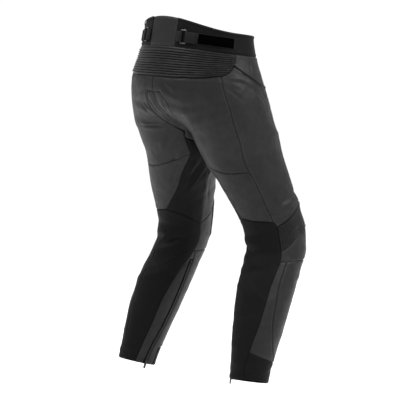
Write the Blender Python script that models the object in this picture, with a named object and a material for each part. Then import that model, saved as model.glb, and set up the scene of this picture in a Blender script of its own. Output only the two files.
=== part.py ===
"""Motorcycle trousers of leather and stretch cloth, filled out as worn and open at the waist and hems.

Metres, +Z up. The wearer faces -Y, so the wearer's left is +X. The origin is the middle of the waist.
Both halves come from the same tables. A point on a half is (around, height): around runs from -1 at the
front through 0 at the outer side to 1 at the back, and height is the world Z. On a leg -1 and 1 are the
same line, down the inside.
"""
import math
from collections import namedtuple

import bmesh
import bpy
import numpy as np
from mathutils import Matrix, Vector
from mathutils.geometry import delaunay_2d_cdt

# Driving sizes
HIP_Z = -0.085          # the legs begin to part below this height
CROTCH_Z = -0.250       # and are parted here
FRONT_POWER = 4.5       # how late the front of the hips gives way to the legs
BACK_POWER = 4.0
SEAM_GAP = 0.0003
LEATHER = 0.0020
STRETCH = 0.0016
LEFT, RIGHT = 1, -1
SIDES = {LEFT: "left", RIGHT: "right"}

# Level sections of one leg: middle, half sizes across and fore-and-aft, and outward turn in degrees
Leg = namedtuple("Leg", "z x y half_width half_depth turn")
LEG = [
    Leg(0.060, 0.0850, 0.0000, 0.0850, 0.1100, 0),
    Leg(-0.100, 0.0950, 0.0000, 0.0960, 0.1240, 0),
    Leg(-0.180, 0.1000, -0.0050, 0.1020, 0.1220, 0),
    Leg(-0.250, 0.1065, -0.0220, 0.1065, 0.1170, 0),
    Leg(-0.310, 0.1145, -0.0420, 0.0990, 0.1080, 11),
    Leg(-0.380, 0.1410, -0.0630, 0.0865, 0.0955, 18),
    Leg(-0.450, 0.1620, -0.0850, 0.0760, 0.0860, 21),
    Leg(-0.500, 0.1745, -0.0985, 0.0705, 0.0825, 21),
    Leg(-0.550, 0.1810, -0.0970, 0.0675, 0.0800, 18),
    Leg(-0.640, 0.1930, -0.0565, 0.0695, 0.0795, 9),
    Leg(-0.720, 0.2035, -0.0230, 0.0655, 0.0740, 3),
    Leg(-0.800, 0.2125, 0.0060, 0.0565, 0.0625, 0),
    Leg(-0.870, 0.2200, 0.0300, 0.0505, 0.0540, 0),
    Leg(-0.940, 0.2260, 0.0500, 0.0480, 0.0500, 0),
]

# Level sections of the hips: half width, and depth in front of and behind the middle
Torso = namedtuple("Torso", "z half_width front back")
TORSO = [
    Torso(0.060, 0.1600, 0.104, 0.124),
    Torso(-0.045, 0.1750, 0.107, 0.147),
    Torso(-0.110, 0.1945, 0.123, 0.168),
    Torso(-0.180, 0.2090, 0.150, 0.159),
    Torso(-0.250, 0.2130, 0.187, 0.141),
]

# Heights of the waistband's edges and of the hem, as waves round the body
BAND_TOP = (0.0093, 0.0173, 0.0107, 0.0187)
BAND_BOTTOM = (-0.045, 0.018, 0.007)
HEM = (-0.8805, 0.0120, 0.0035)


def band_top(around):
    wave = np.sin(math.pi / 2 * around)
    return BAND_TOP[0] + BAND_TOP[1] * wave + BAND_TOP[2] * wave ** 2 + BAND_TOP[3] * wave ** 3


def band_bottom(around):
    wave = np.sin(math.pi / 2 * around)
    return BAND_BOTTOM[0] + BAND_BOTTOM[1] * wave + BAND_BOTTOM[2] * wave ** 2


def hem(around):
    return HEM[0] + HEM[1] * np.sin(math.pi * around) + HEM[2] * np.cos(math.pi * around)


# Where three or more pieces meet on a half: around, height
CORNERS = {
    "top_back": (1.0, band_top(1.0)),
    "top_edge": (0.81, band_top(0.81)),
    "top_front": (-1.0, band_top(-1.0)),
    "band_back": (1.0, band_bottom(1.0)),
    "band_edge": (0.815, band_bottom(0.815)),
    "band_yoke": (0.15, band_bottom(0.15)),
    "band_front": (-1.0, band_bottom(-1.0)),
    "yoke_back": (1.0, -0.0985),
    "yoke_corner": (0.328, -0.0945),
    "yoke_pocket": (0.18, -0.069),
    "pocket_end": (-0.37, -0.135),
    "gusset_top": (1.0, -0.137),
    "gusset_edge": (0.925, -0.137),
    "gusset_back": (0.80, -0.268),
    "gusset_front": (-0.93, -0.270),
    "gusset_point": (-1.0, -0.170),
    "crotch_back": (1.0, CROTCH_Z),
    "crotch_front": (-1.0, CROTCH_Z),
    "thigh_side": (0.135, -0.345),
    "thigh_inner": (0.775, -0.310),
    "knee_side": (0.080, -0.474),
    "knee_middle": (0.460, -0.4685),
    "knee_inner": (0.865, -0.508),
    "ribs_side_top": (0.055, -0.487),
    "ribs_front_top": (-0.380, -0.431),
    "ribs_inner_top": (-0.900, -0.470),
    "ribs_side_low": (0.058, -0.550),
    "ribs_inner_low": (-0.840, -0.556),
    "cup_side": (0.062, -0.578),
    "cup_pintuck": (-0.010, -0.5785),
    "cup_zip": (-1.080, -0.583),
    "cup_inner": (0.888, -0.582),
    "zip_top_back": (0.922, -0.606),
    "zip_top_front": (-1.032, -0.606),
    "gaiter_side": (0.290, -0.800),
    "gaiter_pintuck": (-0.17, -0.832),
    "gaiter_inner": (-0.90, -0.842),
    "hem_side": (0.32, hem(0.32)),
    "hem_inner": (0.745, hem(0.745)),
    "hem_zip_back": (0.888, hem(0.888)),
    "hem_zip_front": (-1.063, hem(-1.063)),
    "hem_gaiter": (-0.90, hem(-0.90)),
    "placket_top": (-0.995, band_bottom(-1.0) - 0.003),
    "placket_side": (-0.862, band_bottom(-0.862) - 0.003),
    "placket_end": (-0.995, -0.160),
}

# Seams of a half: first corner, last corner and the points between that shape the seam
Seam = namedtuple("Seam", "first last between")
SEAMS = {
    "top_back": Seam("top_back", "top_edge", band_top),
    "top_side": Seam("top_edge", "top_front", band_top),
    "band_back": Seam("band_back", "band_edge", band_bottom),
    "band_side": Seam("band_edge", "band_yoke", band_bottom),
    "band_hip": Seam("band_yoke", "band_front", band_bottom),
    "band_back_middle": Seam("top_back", "band_back", []),
    "band_join": Seam("top_edge", "band_edge", []),
    "band_front_middle": Seam("top_front", "band_front", []),
    "yoke_middle": Seam("band_back", "yoke_back", []),
    "yoke_low": Seam("yoke_back", "yoke_corner", [(0.72, -0.099), (0.50, -0.098)]),
    "yoke_round": Seam("yoke_corner", "yoke_pocket", [(0.255, -0.087), (0.21, -0.0785)]),
    "yoke_end": Seam("yoke_pocket", "band_yoke", [(0.155, -0.055)]),
    "seat_middle": Seam("yoke_back", "gusset_top", []),
    "gusset_top": Seam("gusset_top", "gusset_edge", []),
    "gusset_edge": Seam("gusset_edge", "gusset_back", [(0.88, -0.165), (0.862, -0.205), (0.838, -0.238)]),
    "gusset_low": Seam("gusset_back", "gusset_front", [(0.86, -0.276), (1.0, -0.286)]),
    "gusset_rise": Seam("gusset_front", "gusset_point", [(-0.925, -0.225), (-0.96, -0.190)]),
    "gusset_middle_back": Seam("gusset_top", "crotch_back", []),
    "gusset_middle_front": Seam("crotch_front", "gusset_point", []),
    "front_middle": Seam("band_front", "gusset_point", []),
    "side_high": Seam("yoke_corner", "thigh_side", [(0.300, -0.155), (0.250, -0.205), (0.183, -0.268)]),
    "side_low": Seam("thigh_side", "knee_side", [(0.107, -0.390), (0.097, -0.433)]),
    "pocket_seam": Seam("yoke_pocket", "pocket_end", [(0.10, -0.085), (-0.05, -0.108), (-0.20, -0.124)]),
    "side_front": Seam("pocket_end", "ribs_front_top", [(-0.40, -0.200), (-0.40, -0.320)]),
    "thigh_cross": Seam("thigh_side", "thigh_inner", [(0.375, -0.348), (0.59, -0.334)]),
    "inner_high": Seam("gusset_back", "thigh_inner", []),
    "inner_low": Seam("thigh_inner", "knee_middle", [(0.703, -0.348), (0.607, -0.410)]),
    "inner_front": Seam("gusset_front", "knee_inner", [(-1.04, -0.353), (-1.11, -0.433)]),
    "knee_top_side": Seam("knee_side", "knee_middle", [(0.25, -0.473)]),
    "knee_top_inner": Seam("knee_middle", "knee_inner", [(0.613, -0.480)]),
    "knee_edge_top": Seam("knee_side", "ribs_side_top", []),
    "ribs_end_side": Seam("ribs_side_top", "ribs_side_low", [(0.064, -0.520)]),
    "ribs_top_side": Seam("ribs_side_top", "ribs_front_top", [(-0.05, -0.475), (-0.155, -0.460)]),
    "ribs_top_front": Seam("ribs_front_top", "ribs_inner_top", [(-0.58, -0.427), (-0.76, -0.443)]),
    "ribs_end_inner": Seam("ribs_inner_top", "ribs_inner_low", []),
    "ribs_low": Seam("ribs_side_low", "ribs_inner_low",
                     [(-0.027, -0.540), (-0.12, -0.525), (-0.315, -0.500), (-0.50, -0.496), (-0.68, -0.514)]),
    "knee_inner_step": Seam("knee_inner", "ribs_inner_top", [(0.95, -0.497)]),
    "cup_edge_side": Seam("ribs_side_low", "cup_side", []),
    "cup_edge_inner": Seam("knee_inner", "cup_inner", [(0.893, -0.550)]),
    "cup_low_side": Seam("cup_side", "cup_pintuck", []),
    "cup_low_front": Seam("cup_pintuck", "cup_zip", [(-0.3, -0.578), (-0.7, -0.585)]),
    "cup_low_inner": Seam("cup_zip", "cup_inner", []),
    "calf_edge_side": Seam("cup_side", "gaiter_side",
                           [(0.117, -0.623), (0.175, -0.695), (0.215, -0.740), (0.258, -0.773)]),
    "gaiter_edge": Seam("gaiter_side", "hem_side", [(0.333, -0.835)]),
    "calf_edge_inner": Seam("cup_inner", "hem_inner",
                            [(0.850, -0.635), (0.820, -0.703), (0.815, -0.773), (0.775, -0.833)]),
    "pintuck": Seam("cup_pintuck", "gaiter_pintuck",
                    [(0.035, -0.630), (0.048, -0.685), (0.035, -0.738), (-0.025, -0.783)]),
    "gaiter_top_side": Seam("gaiter_side", "gaiter_pintuck", [(0.103, -0.815)]),
    "gaiter_top_front": Seam("gaiter_pintuck", "gaiter_inner", [(-0.55, -0.843)]),
    "gaiter_end": Seam("gaiter_inner", "hem_gaiter", []),
    "zip_seam": Seam("cup_zip", "zip_top_front", []),
    "zip_head": Seam("zip_top_front", "zip_top_back", []),
    "zip_back": Seam("zip_top_back", "hem_zip_back",
                     [(0.967, -0.670), (0.989, -0.735), (0.977, -0.785), (0.930, -0.830)]),
    "zip_front": Seam("zip_top_front", "hem_zip_front",
                      [(-0.987, -0.670), (-0.965, -0.735), (-0.977, -0.785), (-1.020, -0.830)]),
    "placket_top": Seam("placket_top", "placket_side", []),
    "placket_curve": Seam("placket_side", "placket_end", [(-0.866, -0.110), (-0.882, -0.138), (-0.93, -0.156)]),
    "placket_middle": Seam("placket_end", "placket_top", []),
    "hem_back": Seam("hem_side", "hem_inner", hem),
    "hem_calf": Seam("hem_inner", "hem_zip_back", hem),
    "hem_zip": Seam("hem_zip_back", "hem_zip_front", hem),
    "hem_shin": Seam("hem_zip_front", "hem_gaiter", hem),
    "hem_gaiter": Seam("hem_gaiter", "hem_side", hem),
}

# Pieces of a half: the seams round each, in order; a minus sign runs a seam backwards. Around values
# within one of the middle column stay together, and pitch is the spacing of the points inside.
Piece = namedtuple("Piece", "name wall middle pitch seams")
PIECES = [
    Piece("waistband_side", STRETCH, -0.1, 0.030,
          "top_side band_front_middle -band_hip -band_side -band_join"),
    Piece("seat", LEATHER, 0.6, 0.028,
          "yoke_low side_high thigh_cross -inner_high -gusset_edge -gusset_top -seat_middle"),
    Piece("crotch_gusset", LEATHER, 0.95, 0.024,
          "gusset_top gusset_edge gusset_low gusset_rise -gusset_middle_front -gusset_middle_back"),
    Piece("thigh_back", LEATHER, 0.5, 0.030,
          "-thigh_cross side_low knee_top_side -inner_low"),
    Piece("side_panel", LEATHER, 0.0, 0.030,
          "yoke_round pocket_seam side_front -ribs_top_side -knee_edge_top -side_low -side_high"),
    Piece("front_thigh", LEATHER, -0.5, 0.030,
          "band_hip front_middle -gusset_rise inner_front knee_inner_step -ribs_top_front -side_front "
          "-pocket_seam yoke_end"),
    Piece("inner_thigh", STRETCH, 0.8, 0.026,
          "gusset_low inner_front -knee_top_inner -inner_low -inner_high"),
    Piece("knee_cup", LEATHER, -0.5, 0.026,
          "ribs_low -ribs_end_inner -knee_inner_step cup_edge_inner -cup_low_inner -cup_low_front "
          "-cup_low_side -cup_edge_side"),
    Piece("knee_back", STRETCH, 0.5, 0.026,
          "-knee_top_side knee_edge_top ribs_end_side cup_edge_side calf_edge_side gaiter_edge hem_back "
          "-calf_edge_inner -cup_edge_inner -knee_top_inner"),
    Piece("calf_outer", LEATHER, 0.1, 0.030,
          "cup_low_side pintuck -gaiter_top_side -calf_edge_side"),
    Piece("shin", LEATHER, -0.5, 0.030,
          "cup_low_front zip_seam zip_front hem_shin -gaiter_end -gaiter_top_front -pintuck"),
    Piece("calf_inner", LEATHER, 0.85, 0.026,
          "cup_low_inner calf_edge_inner hem_calf -zip_back -zip_head -zip_seam"),
    Piece("calf_gaiter", STRETCH, -0.3, 0.026,
          "gaiter_top_side gaiter_top_front gaiter_end hem_gaiter -gaiter_edge"),
]

# Folds and swellings of the cloth: which side, middle of the fold, slope of its line in degrees (up
# towards the back), half length and half width of it, and how far it stands out or sinks in
Fold = namedtuple("Fold", "side around height slope half_length half_width rise")
BOTH = 0
FOLDS = [
    Fold(BOTH, -0.50, -0.425, -4, 0.090, 0.014, 0.0040),
    Fold(BOTH, -0.55, -0.560, 0, 0.080, 0.022, 0.0035),
    Fold(BOTH, 0.40, -0.553, 0, 0.055, 0.012, -0.0050),
    Fold(BOTH, 0.45, -0.530, 4, 0.060, 0.011, 0.0030),
    Fold(LEFT, 0.60, -0.236, 3, 0.060, 0.014, 0.0040),
    Fold(BOTH, 0.80, -0.150, 14, 0.034, 0.006, 0.0022),
    Fold(BOTH, 0.77, -0.171, 6, 0.040, 0.006, -0.0020),
    Fold(BOTH, 0.74, -0.190, -6, 0.045, 0.008, 0.0026),
    Fold(RIGHT, 0.62, -0.222, -16, 0.050, 0.011, 0.0030),
    Fold(RIGHT, 0.50, -0.290, -28, 0.055, 0.012, -0.0022),
    Fold(BOTH, 0.05, -0.112, 22, 0.048, 0.007, 0.0020),
    Fold(BOTH, -0.10, -0.190, 60, 0.070, 0.022, 0.0025),
    Fold(BOTH, 0.20, -0.420, -70, 0.060, 0.016, 0.0025),
    Fold(BOTH, 0.36, -0.512, -8, 0.055, 0.010, -0.0028),
    Fold(BOTH, 0.50, -0.578, 10, 0.055, 0.010, 0.0026),
    Fold(BOTH, 0.42, -0.605, -12, 0.050, 0.010, -0.0024),
    Fold(BOTH, 0.48, -0.648, 16, 0.060, 0.013, 0.0022),
    Fold(BOTH, 0.50, -0.715, -14, 0.055, 0.012, -0.0020),
    Fold(BOTH, 0.52, -0.790, 10, 0.045, 0.012, 0.0018),
    Fold(BOTH, 0.90, -0.380, 34, 0.045, 0.009, 0.0022),
    Fold(BOTH, 0.96, -0.425, 30, 0.045, 0.009, -0.0020),
    Fold(BOTH, -0.62, -0.200, 24, 0.060, 0.010, 0.0024),
    Fold(BOTH, -0.72, -0.235, 12, 0.050, 0.010, -0.0020),
    Fold(BOTH, -0.55, -0.300, 60, 0.070, 0.020, 0.0022),
    Fold(BOTH, -0.45, -0.760, -10, 0.060, 0.016, 0.0022),
    Fold(BOTH, 0.15, -0.700, -62, 0.050, 0.014, 0.0020),
]

# Raised ribs: how many, share of the piece below the first and above the last, height, and columns
Ribs = namedtuple("Ribs", "count low high rise columns")
YOKE_RIBS = Ribs(11, 0.02, 0.90, 0.0020, 26)
KNEE_RIBS = Ribs(14, 0.03, 0.97, 0.0016, 11)

# Trims: what lies on the cloth is this far above it
LAID_GAP = 0.0004
WELT_WIDTH = 0.005
WELT_THICK = 0.0022
WELT_AHEAD = 0.004      # of around, from the pocket seam forwards
TAB_THICK = 0.0020
TAB_WIDTH = 0.034
TAB_LIFT = 0.0012       # over the hollow of the band's front
TAB_ENDS = (-0.10, 0.13)    # its ends, in around measured from the middle of the front
SNAP_RADIUS = 0.0075
SNAP_HEIGHT = 0.0016
SNAP_ON = 3             # the row of the tab that carries the stud
STRAP_THICK = 0.0010
WIRE = 0.0030           # of the adjuster's ring
RING_LENGTH = 0.0185
RING_WIDTH = 0.0375
RING_CORNER = 0.0025
RING_AROUND = 0.720
ADJUSTER_RISE = 0.0270  # of its line above the band's lower edge
BAR_LIFT = LAID_GAP + STRAP_THICK + LAID_GAP + WIRE / 2
STRAP_WIDTH = 0.029
BAND_HOLLOW = 0.0004    # what the flat faces of the hollow band stand over its smooth form
STRAP_FRONT = 0.143     # where the strap is sewn on
STRAP_BACK = 0.580      # where it ends after it has come back
ANCHOR_END = 0.805
ANCHOR_WIDTH = 0.028
HOOK_WIDTH = 0.026
ZIP_SUNK = 0.0008       # how far the zip's tape lies below the leather's face
COIL_HEIGHT = 0.0018
ZIP_LINE = [(0.945, -0.608), (0.990, -0.670), (1.012, -0.735), (1.000, -0.785), (0.953, -0.830),
            (0.9125, -0.881)]
SLIDER_RISE = 0.007     # of the slider's middle above the end of the coil
AXIS_LIFT = 0.0048      # of the pull tab's axis above the leather
BRIDGE_ROOM = 0.0010    # between that axis and the slider's plate, and under the bridge
SLIDER_HALF = (0.0035, 0.0045)
BRIDGE_INNER = 0.0026   # half the bridge's opening along the zip
BRIDGE_THICK = 0.0010
BRIDGE_HALF = 0.0008    # half the bridge's width
PULL_THICK = 0.0010
PULL_EYE = 0.0017       # half the width of the pull tab's eye
PULL_ROWS = [(-0.0005, 0.0027), (0.0005, 0.0027), (0.0044, 0.0027), (0.0080, 0.0032), (0.0170, 0.0028),
             (0.0190, 0.0016)]      # distance from the axis and half width; the eye is from the second to the third

ROUND_SPAN = 0.30       # metres that one unit of around takes in the flat plan
LONGEST_EDGE = 0.045
SHARPEST_TURN = math.radians(18)
SLIT_SLOPE = 0.35
PLACKET_FINER = 4       # times as many points on the placket, which lies a thin gap above the thighs


# The form

def columns(table, height):
    """Every column of a table but the first, read smoothly at each height."""
    rows = np.array(sorted(table))
    known = rows[:, 0]
    i = np.clip(np.searchsorted(known, height) - 1, 0, len(known) - 2)
    step = known[i + 1] - known[i]
    t = np.clip((height - known[i]) / step, 0, 1)
    result = []
    for values in rows.T[1:]:
        slope = np.gradient(values, known)
        result.append((2 * t ** 3 - 3 * t ** 2 + 1) * values[i] + (t ** 3 - 2 * t ** 2 + t) * step * slope[i]
                      + (3 * t ** 2 - 2 * t ** 3) * values[i + 1] + (t ** 3 - t ** 2) * step * slope[i + 1])
    return result


def hip_share(height, power):
    """How much of a section is hips and not leg: 1 at the hips, falling steeply to 0 at the crotch."""
    return 1 - np.clip((HIP_Z - height) / (HIP_Z - CROTCH_Z), 0, 1) ** power


def into_turn(around):
    return np.where(around > 1, around - 2, np.where(around < -1, around + 2, around))


def base(around, height, side):
    """The smooth form without folds."""
    around = into_turn(around)
    x, y, across, depth, turn = columns(LEG, height)
    turn = np.radians(turn)
    x = np.where(height > CROTCH_Z, across * np.cos(turn), np.maximum(x, across * np.cos(turn) + SEAM_GAP))
    angle = math.pi * around
    leg_x = x + across * np.cos(angle) * np.cos(turn) - depth * np.sin(angle) * np.sin(turn)
    leg_y = y + across * np.cos(angle) * np.sin(turn) + depth * np.sin(angle) * np.cos(turn)
    half_width, front, back = columns(TORSO, height)
    hip_x = half_width * np.cos(angle / 2)
    hip_y = np.where(around > 0, back, front) * np.sin(angle / 2)
    in_front, behind = hip_share(height, FRONT_POWER), hip_share(height, BACK_POWER)
    share = in_front + (behind - in_front) * (1 + np.sin(angle / 2)) / 2
    return np.stack([side * ((1 - share) * leg_x + share * hip_x),
                     (1 - share) * leg_y + share * hip_y, height + 0 * around], axis=-1)


def span(height):
    """Metres of cloth in one unit of around at a height."""
    across, depth = columns(LEG, height)[2:4]
    half_width = columns(TORSO, height)[0]
    share = hip_share(height, BACK_POWER)
    return math.pi * (across + depth) / 2 * (1 - share) + math.pi / 2 * half_width * share


def fold_rise(around, height, side):
    rise = 0 * around
    for fold in FOLDS:
        if fold.side in (BOTH, side):
            turn = (around - fold.around + 1) % 2 - 1
            a, b = turn * span(height), height - fold.height
            slope = math.radians(fold.slope)
            along = a * math.cos(slope) + b * math.sin(slope)
            over = b * math.cos(slope) - a * math.sin(slope)
            rise = rise + fold.rise * np.exp(-(along / fold.half_length) ** 2 - (over / fold.half_width) ** 2)
    return rise


def normals(around, height, side):
    """Outward directions of the smooth form."""
    turn, rise = 0.012, 0.004
    held = np.where(height > CROTCH_Z - rise, np.clip(around, -1 + turn, 1 - turn), around)
    d_around = base(held + turn, height, side) - base(held - turn, height, side)
    d_height = base(held, height + rise, side) - base(held, height - rise, side)
    out = side * np.cross(d_around, d_height)
    return out / np.linalg.norm(out, axis=-1, keepdims=True)


def cloth(around, height, side, lift=0.0):
    """Points of the garment's outer face, moved out by lift."""
    around, height = np.broadcast_arrays(np.asarray(around, float), np.asarray(height, float))
    rise = fold_rise(around, height, side) + lift
    return base(around, height, side) + normals(around, height, side) * np.asarray(rise)[..., None]


# The flat plan: across is around in metres, and up is the length along the cloth from the hem line

PLAN_Z = np.concatenate([np.linspace(-0.94, CROTCH_Z, 90),
                         CROTCH_Z + (HIP_Z - CROTCH_Z) * np.linspace(0, 1, 140)[1:] ** 2,
                         np.linspace(HIP_Z, 0.07, 30)[1:]])
PLAN_AROUND = np.linspace(-1, 1, 81)
GRID = base(*np.meshgrid(PLAN_AROUND, PLAN_Z, indexing="ij"), LEFT)
PLAN_UP = np.concatenate([np.zeros((len(PLAN_AROUND), 1)),
                          np.cumsum(np.linalg.norm(np.diff(GRID, axis=1), axis=2), axis=1)], axis=1)


def plan_rows(around):
    """Length up the cloth at every PLAN_Z, for one value of around."""
    place = (float(into_turn(np.asarray(around))) + 1) / 2 * (len(PLAN_AROUND) - 1)
    i = min(int(place), len(PLAN_AROUND) - 2)
    return PLAN_UP[i] + (PLAN_UP[i + 1] - PLAN_UP[i]) * (place - i)


def up_at(around, height):
    return np.array([np.interp(z, PLAN_Z, plan_rows(a)) for a, z in zip(around, height)])


def height_at(around, up):
    return np.array([np.interp(u, plan_rows(a), PLAN_Z) for a, u in zip(around, up)])


def smooth_curve(points, count):
    """Count points on a smooth curve through the given ones."""
    points = np.asarray(points, float)
    if len(points) == 2:
        t = np.linspace(0, 1, count)[:, None]
        return points[0] * (1 - t) + points[1] * t
    place = np.concatenate([[0], np.cumsum(np.linalg.norm(np.diff(points, axis=0), axis=1))])
    table = np.column_stack([place, points])
    return np.column_stack(columns([tuple(row) for row in table], np.linspace(0, place[-1], count)))


def sample_seam(name):
    """(around, height) of the points on a seam, closer together where the cloth turns faster."""
    seam = SEAMS[name]
    first, last = CORNERS[seam.first], CORNERS[seam.last]
    dense = 241
    if callable(seam.between):
        end = last[0] - 2 * round((last[0] - first[0]) / 2) if abs(last[0] - first[0]) > 1.9 else last[0]
        around = np.linspace(first[0], end, dense)
        height = seam.between(around)
    else:
        route = [first] + list(seam.between) + [last]
        turns = np.array([p[0] for p in route])
        for i in range(1, len(turns)):
            turns[i] -= 2 * round((turns[i] - turns[i - 1]) / 2)
        ups = up_at(turns, [p[1] for p in route])
        curve = smooth_curve(np.column_stack([turns * ROUND_SPAN, ups]), dense)
        around = np.round(curve[:, 0] / ROUND_SPAN, 9)
        height = height_at(around, curve[:, 1])
        height[0], height[-1] = first[1], last[1]
    coarse = slice(None, None, 8)
    points, out = cloth(around, height, LEFT)[coarse], normals(around, height, LEFT)[coarse]
    steps = np.diff(points, axis=0)
    length = np.linalg.norm(steps, axis=1)
    tangent = steps / np.maximum(length, 1e-9)[:, None]
    bend = np.linalg.norm(np.diff(out, axis=0), axis=1)
    bend[1:] = np.maximum(bend[1:], np.linalg.norm(np.diff(tangent, axis=0), axis=1))
    cost = np.concatenate([[0], np.cumsum(np.maximum(length / LONGEST_EDGE, bend / SHARPEST_TURN))])
    finer = PLACKET_FINER if seam.first.startswith("placket") else 1
    count = max(1, math.ceil(cost[-1] - 0.2)) * finer
    pick = np.interp(np.linspace(0, cost[-1], count + 1), cost, np.linspace(0, dense - 1, len(cost)))
    return np.column_stack([np.interp(pick, np.arange(dense), around),
                            np.interp(pick, np.arange(dense), height)])


SAMPLED = {}


def seam_points(name):
    """The sampled seam, run backwards where its name starts with a minus sign."""
    key = name.lstrip("-")
    if key not in SAMPLED:
        SAMPLED[key] = sample_seam(key)
    return SAMPLED[key][::-1] if name.startswith("-") else SAMPLED[key]


def in_plan(points, middle):
    """Plan coordinates of (around, height) points, kept within one turn of the middle."""
    around = points[:, 0] - 2 * np.round((points[:, 0] - middle) / 2)
    return np.column_stack([around * ROUND_SPAN, up_at(points[:, 0], points[:, 1])])


def inside(points, loop, margin):
    """Which plan points lie inside a loop and at least margin from its edge."""
    start, end = loop, np.roll(loop, -1, axis=0)
    x, y = points[:, :1], points[:, 1:]
    crosses = (start[:, 1] > y) != (end[:, 1] > y)
    rise = np.where(end[:, 1] == start[:, 1], 1, end[:, 1] - start[:, 1])
    at = start[:, 0] + (end[:, 0] - start[:, 0]) * (y - start[:, 1]) / rise
    odd = np.sum(crosses & (x < at), axis=1) % 2 == 1
    edge = end - start
    away = points[:, None] - start
    share = np.clip(np.sum(away * edge, axis=2) / np.maximum(np.sum(edge ** 2, axis=1), 1e-12), 0, 1)
    gap = np.linalg.norm(away - share[..., None] * edge, axis=2).min(axis=1)
    return odd & (gap > margin)


def honeycomb(low, high, pitch):
    rows = np.arange(low[1], high[1], pitch * 0.87)
    points = [(x + pitch / 2 * (i % 2), y) for i, y in enumerate(rows) for x in np.arange(low[0], high[0], pitch)]
    return np.array(points)


def triangles(plan, loop_size, rows=()):
    """Faces that fill the loop formed by the first points, through all the others, keeping the rows."""
    edges = [(i, (i + 1) % loop_size) for i in range(loop_size)]
    edges += [pair for row in rows for pair in zip(row[:-1], row[1:])]
    flat = [Vector((float(x), float(y))) for x, y in plan]
    points, _, faces, sources, _, _ = delaunay_2d_cdt(flat, edges, [list(range(loop_size))], 1, 1e-7)
    if len(points) != len(plan):
        raise ValueError("the plan's points merge or cross: %d of %d" % (len(points), len(plan)))
    names = [source[0] for source in sources]
    return [[names[i] for i in face] for face in faces]


def inset(points, out, turn):
    """A loop of points moved half a seam gap inwards along the cloth."""
    ahead, behind = np.roll(points, -1, axis=0) - points, points - np.roll(points, 1, axis=0)
    ways = []
    for step in (ahead, behind):
        way = turn * np.cross(out, step)
        ways.append(way / np.linalg.norm(way, axis=1, keepdims=True))
    both = ways[0] + ways[1]
    both = both / np.maximum(np.linalg.norm(both, axis=1, keepdims=True), 1e-6)
    reach = np.maximum(np.sum(both * ways[0], axis=1, keepdims=True), 0.35)
    return points + both * (SEAM_GAP / 2) / reach


# Making objects

MATERIAL_OF = {
    "waistband_back": "leather", "waistband_side": "stretch", "waist_tab": "stretch", "waist_snap": "metal",
    "fly_placket": "leather", "yoke_back_ribbed": "leather", "seat": "leather", "thigh_back": "leather",
    "crotch_gusset": "leather", "side_panel": "leather", "front_thigh": "leather", "pocket_welt": "leather",
    "inner_thigh": "stretch", "knee_accordion": "leather", "knee_cup": "leather", "knee_back": "stretch",
    "calf_outer": "leather", "shin": "leather", "calf_inner": "leather", "calf_gaiter": "stretch",
    "calf_zip": "stretch", "zip_coil": "plastic", "zip_bridge": "metal", "zip_slider": "metal",
    "zip_pull": "metal", "adjuster_strap": "stretch", "adjuster_ring": "plastic", "adjuster_anchor": "stretch",
    "hook_patch": "hook",
}

MATERIALS = {
    "leather": ((0.032, 0.032, 0.034), 0.55, 0.0),
    "stretch": ((0.010, 0.010, 0.011), 0.90, 0.0),
    "hook": ((0.004, 0.004, 0.004), 0.95, 0.0),
    "plastic": ((0.012, 0.012, 0.013), 0.45, 0.0),
    "metal": ((0.060, 0.060, 0.065), 0.35, 1.0),
}


def name_stem(name):
    """An object's name without its side."""
    for word in SIDES.values():
        name = name.removesuffix("_" + word)
    return name


def material(name):
    found = bpy.data.materials.get(name)
    if found is None:
        color, roughness, metallic = MATERIALS[name]
        found = bpy.data.materials.new(name)
        found.use_nodes = True
        shader = found.node_tree.nodes["Principled BSDF"]
        shader.inputs["Base Color"].default_value = (*color, 1)
        shader.inputs["Roughness"].default_value = roughness
        shader.inputs["Metallic"].default_value = metallic
    return found


def make_object(name, points, faces):
    mesh = bpy.data.meshes.new(name)
    mesh.from_pydata([tuple(map(float, p)) for p in points], [], faces)
    mesh.materials.append(material(MATERIAL_OF[name_stem(name)]))
    obj = bpy.data.objects.new(name, mesh)
    bpy.context.scene.collection.objects.link(obj)
    return obj


def make_wall(name, outer, inner, outer_faces, inner_faces, loop_size, flip):
    """A closed wall between an outer and an inner skin that share the same number of edge points."""
    faces = [list(face) for face in outer_faces]
    faces += [[i + len(outer) for i in reversed(face)] for face in inner_faces]
    for i in range(loop_size):
        j = (i + 1) % loop_size
        faces.append([j, i, i + len(outer), j + len(outer)])
    if flip:
        faces = [face[::-1] for face in faces]
    return make_object(name, list(outer) + list(inner), faces)


def loop_of(seams):
    """The (around, height) points round a piece, each corner once."""
    return np.concatenate([seam_points(seam)[:-1] for seam in seams.split()])


def wall_piece(name, wall, middle, pitch, seams, side, lift=0.0, slit=False):
    """One sewn piece: its seams sampled, its plan filled with points, both skins raised from the plan."""
    loop = loop_of(seams)
    if runs_clockwise(in_plan(loop, middle)):
        loop = loop[::-1]
    edge = in_plan(loop, middle)
    grid = honeycomb(edge.min(axis=0), edge.max(axis=0), pitch)
    around = into_turn(np.round(grid[:, 0] / ROUND_SPAN, 9))
    inner_points = np.column_stack([around, height_at(around, grid[:, 1])])
    if slit:
        edge, grid = open_slit(edge, loop), open_slit(grid, inner_points)
    keep = inside(grid, edge, pitch * 0.45)
    flat = np.concatenate([edge, grid[keep]])
    points = np.concatenate([loop, inner_points[keep]])
    faces = triangles(flat, len(loop))
    outer = cloth(points[:, 0], points[:, 1], side, lift)
    out = normals(points[:, 0], points[:, 1], side)
    outer[:len(loop)] = inset(outer[:len(loop)], out[:len(loop)], side)
    return make_wall(name, outer, outer - out * wall, faces, faces, len(loop), side < 0)


def runs_clockwise(loop):
    ahead = np.roll(loop, -1, axis=0)
    return np.sum(loop[:, 0] * ahead[:, 1] - ahead[:, 0] * loop[:, 1]) < 0


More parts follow.
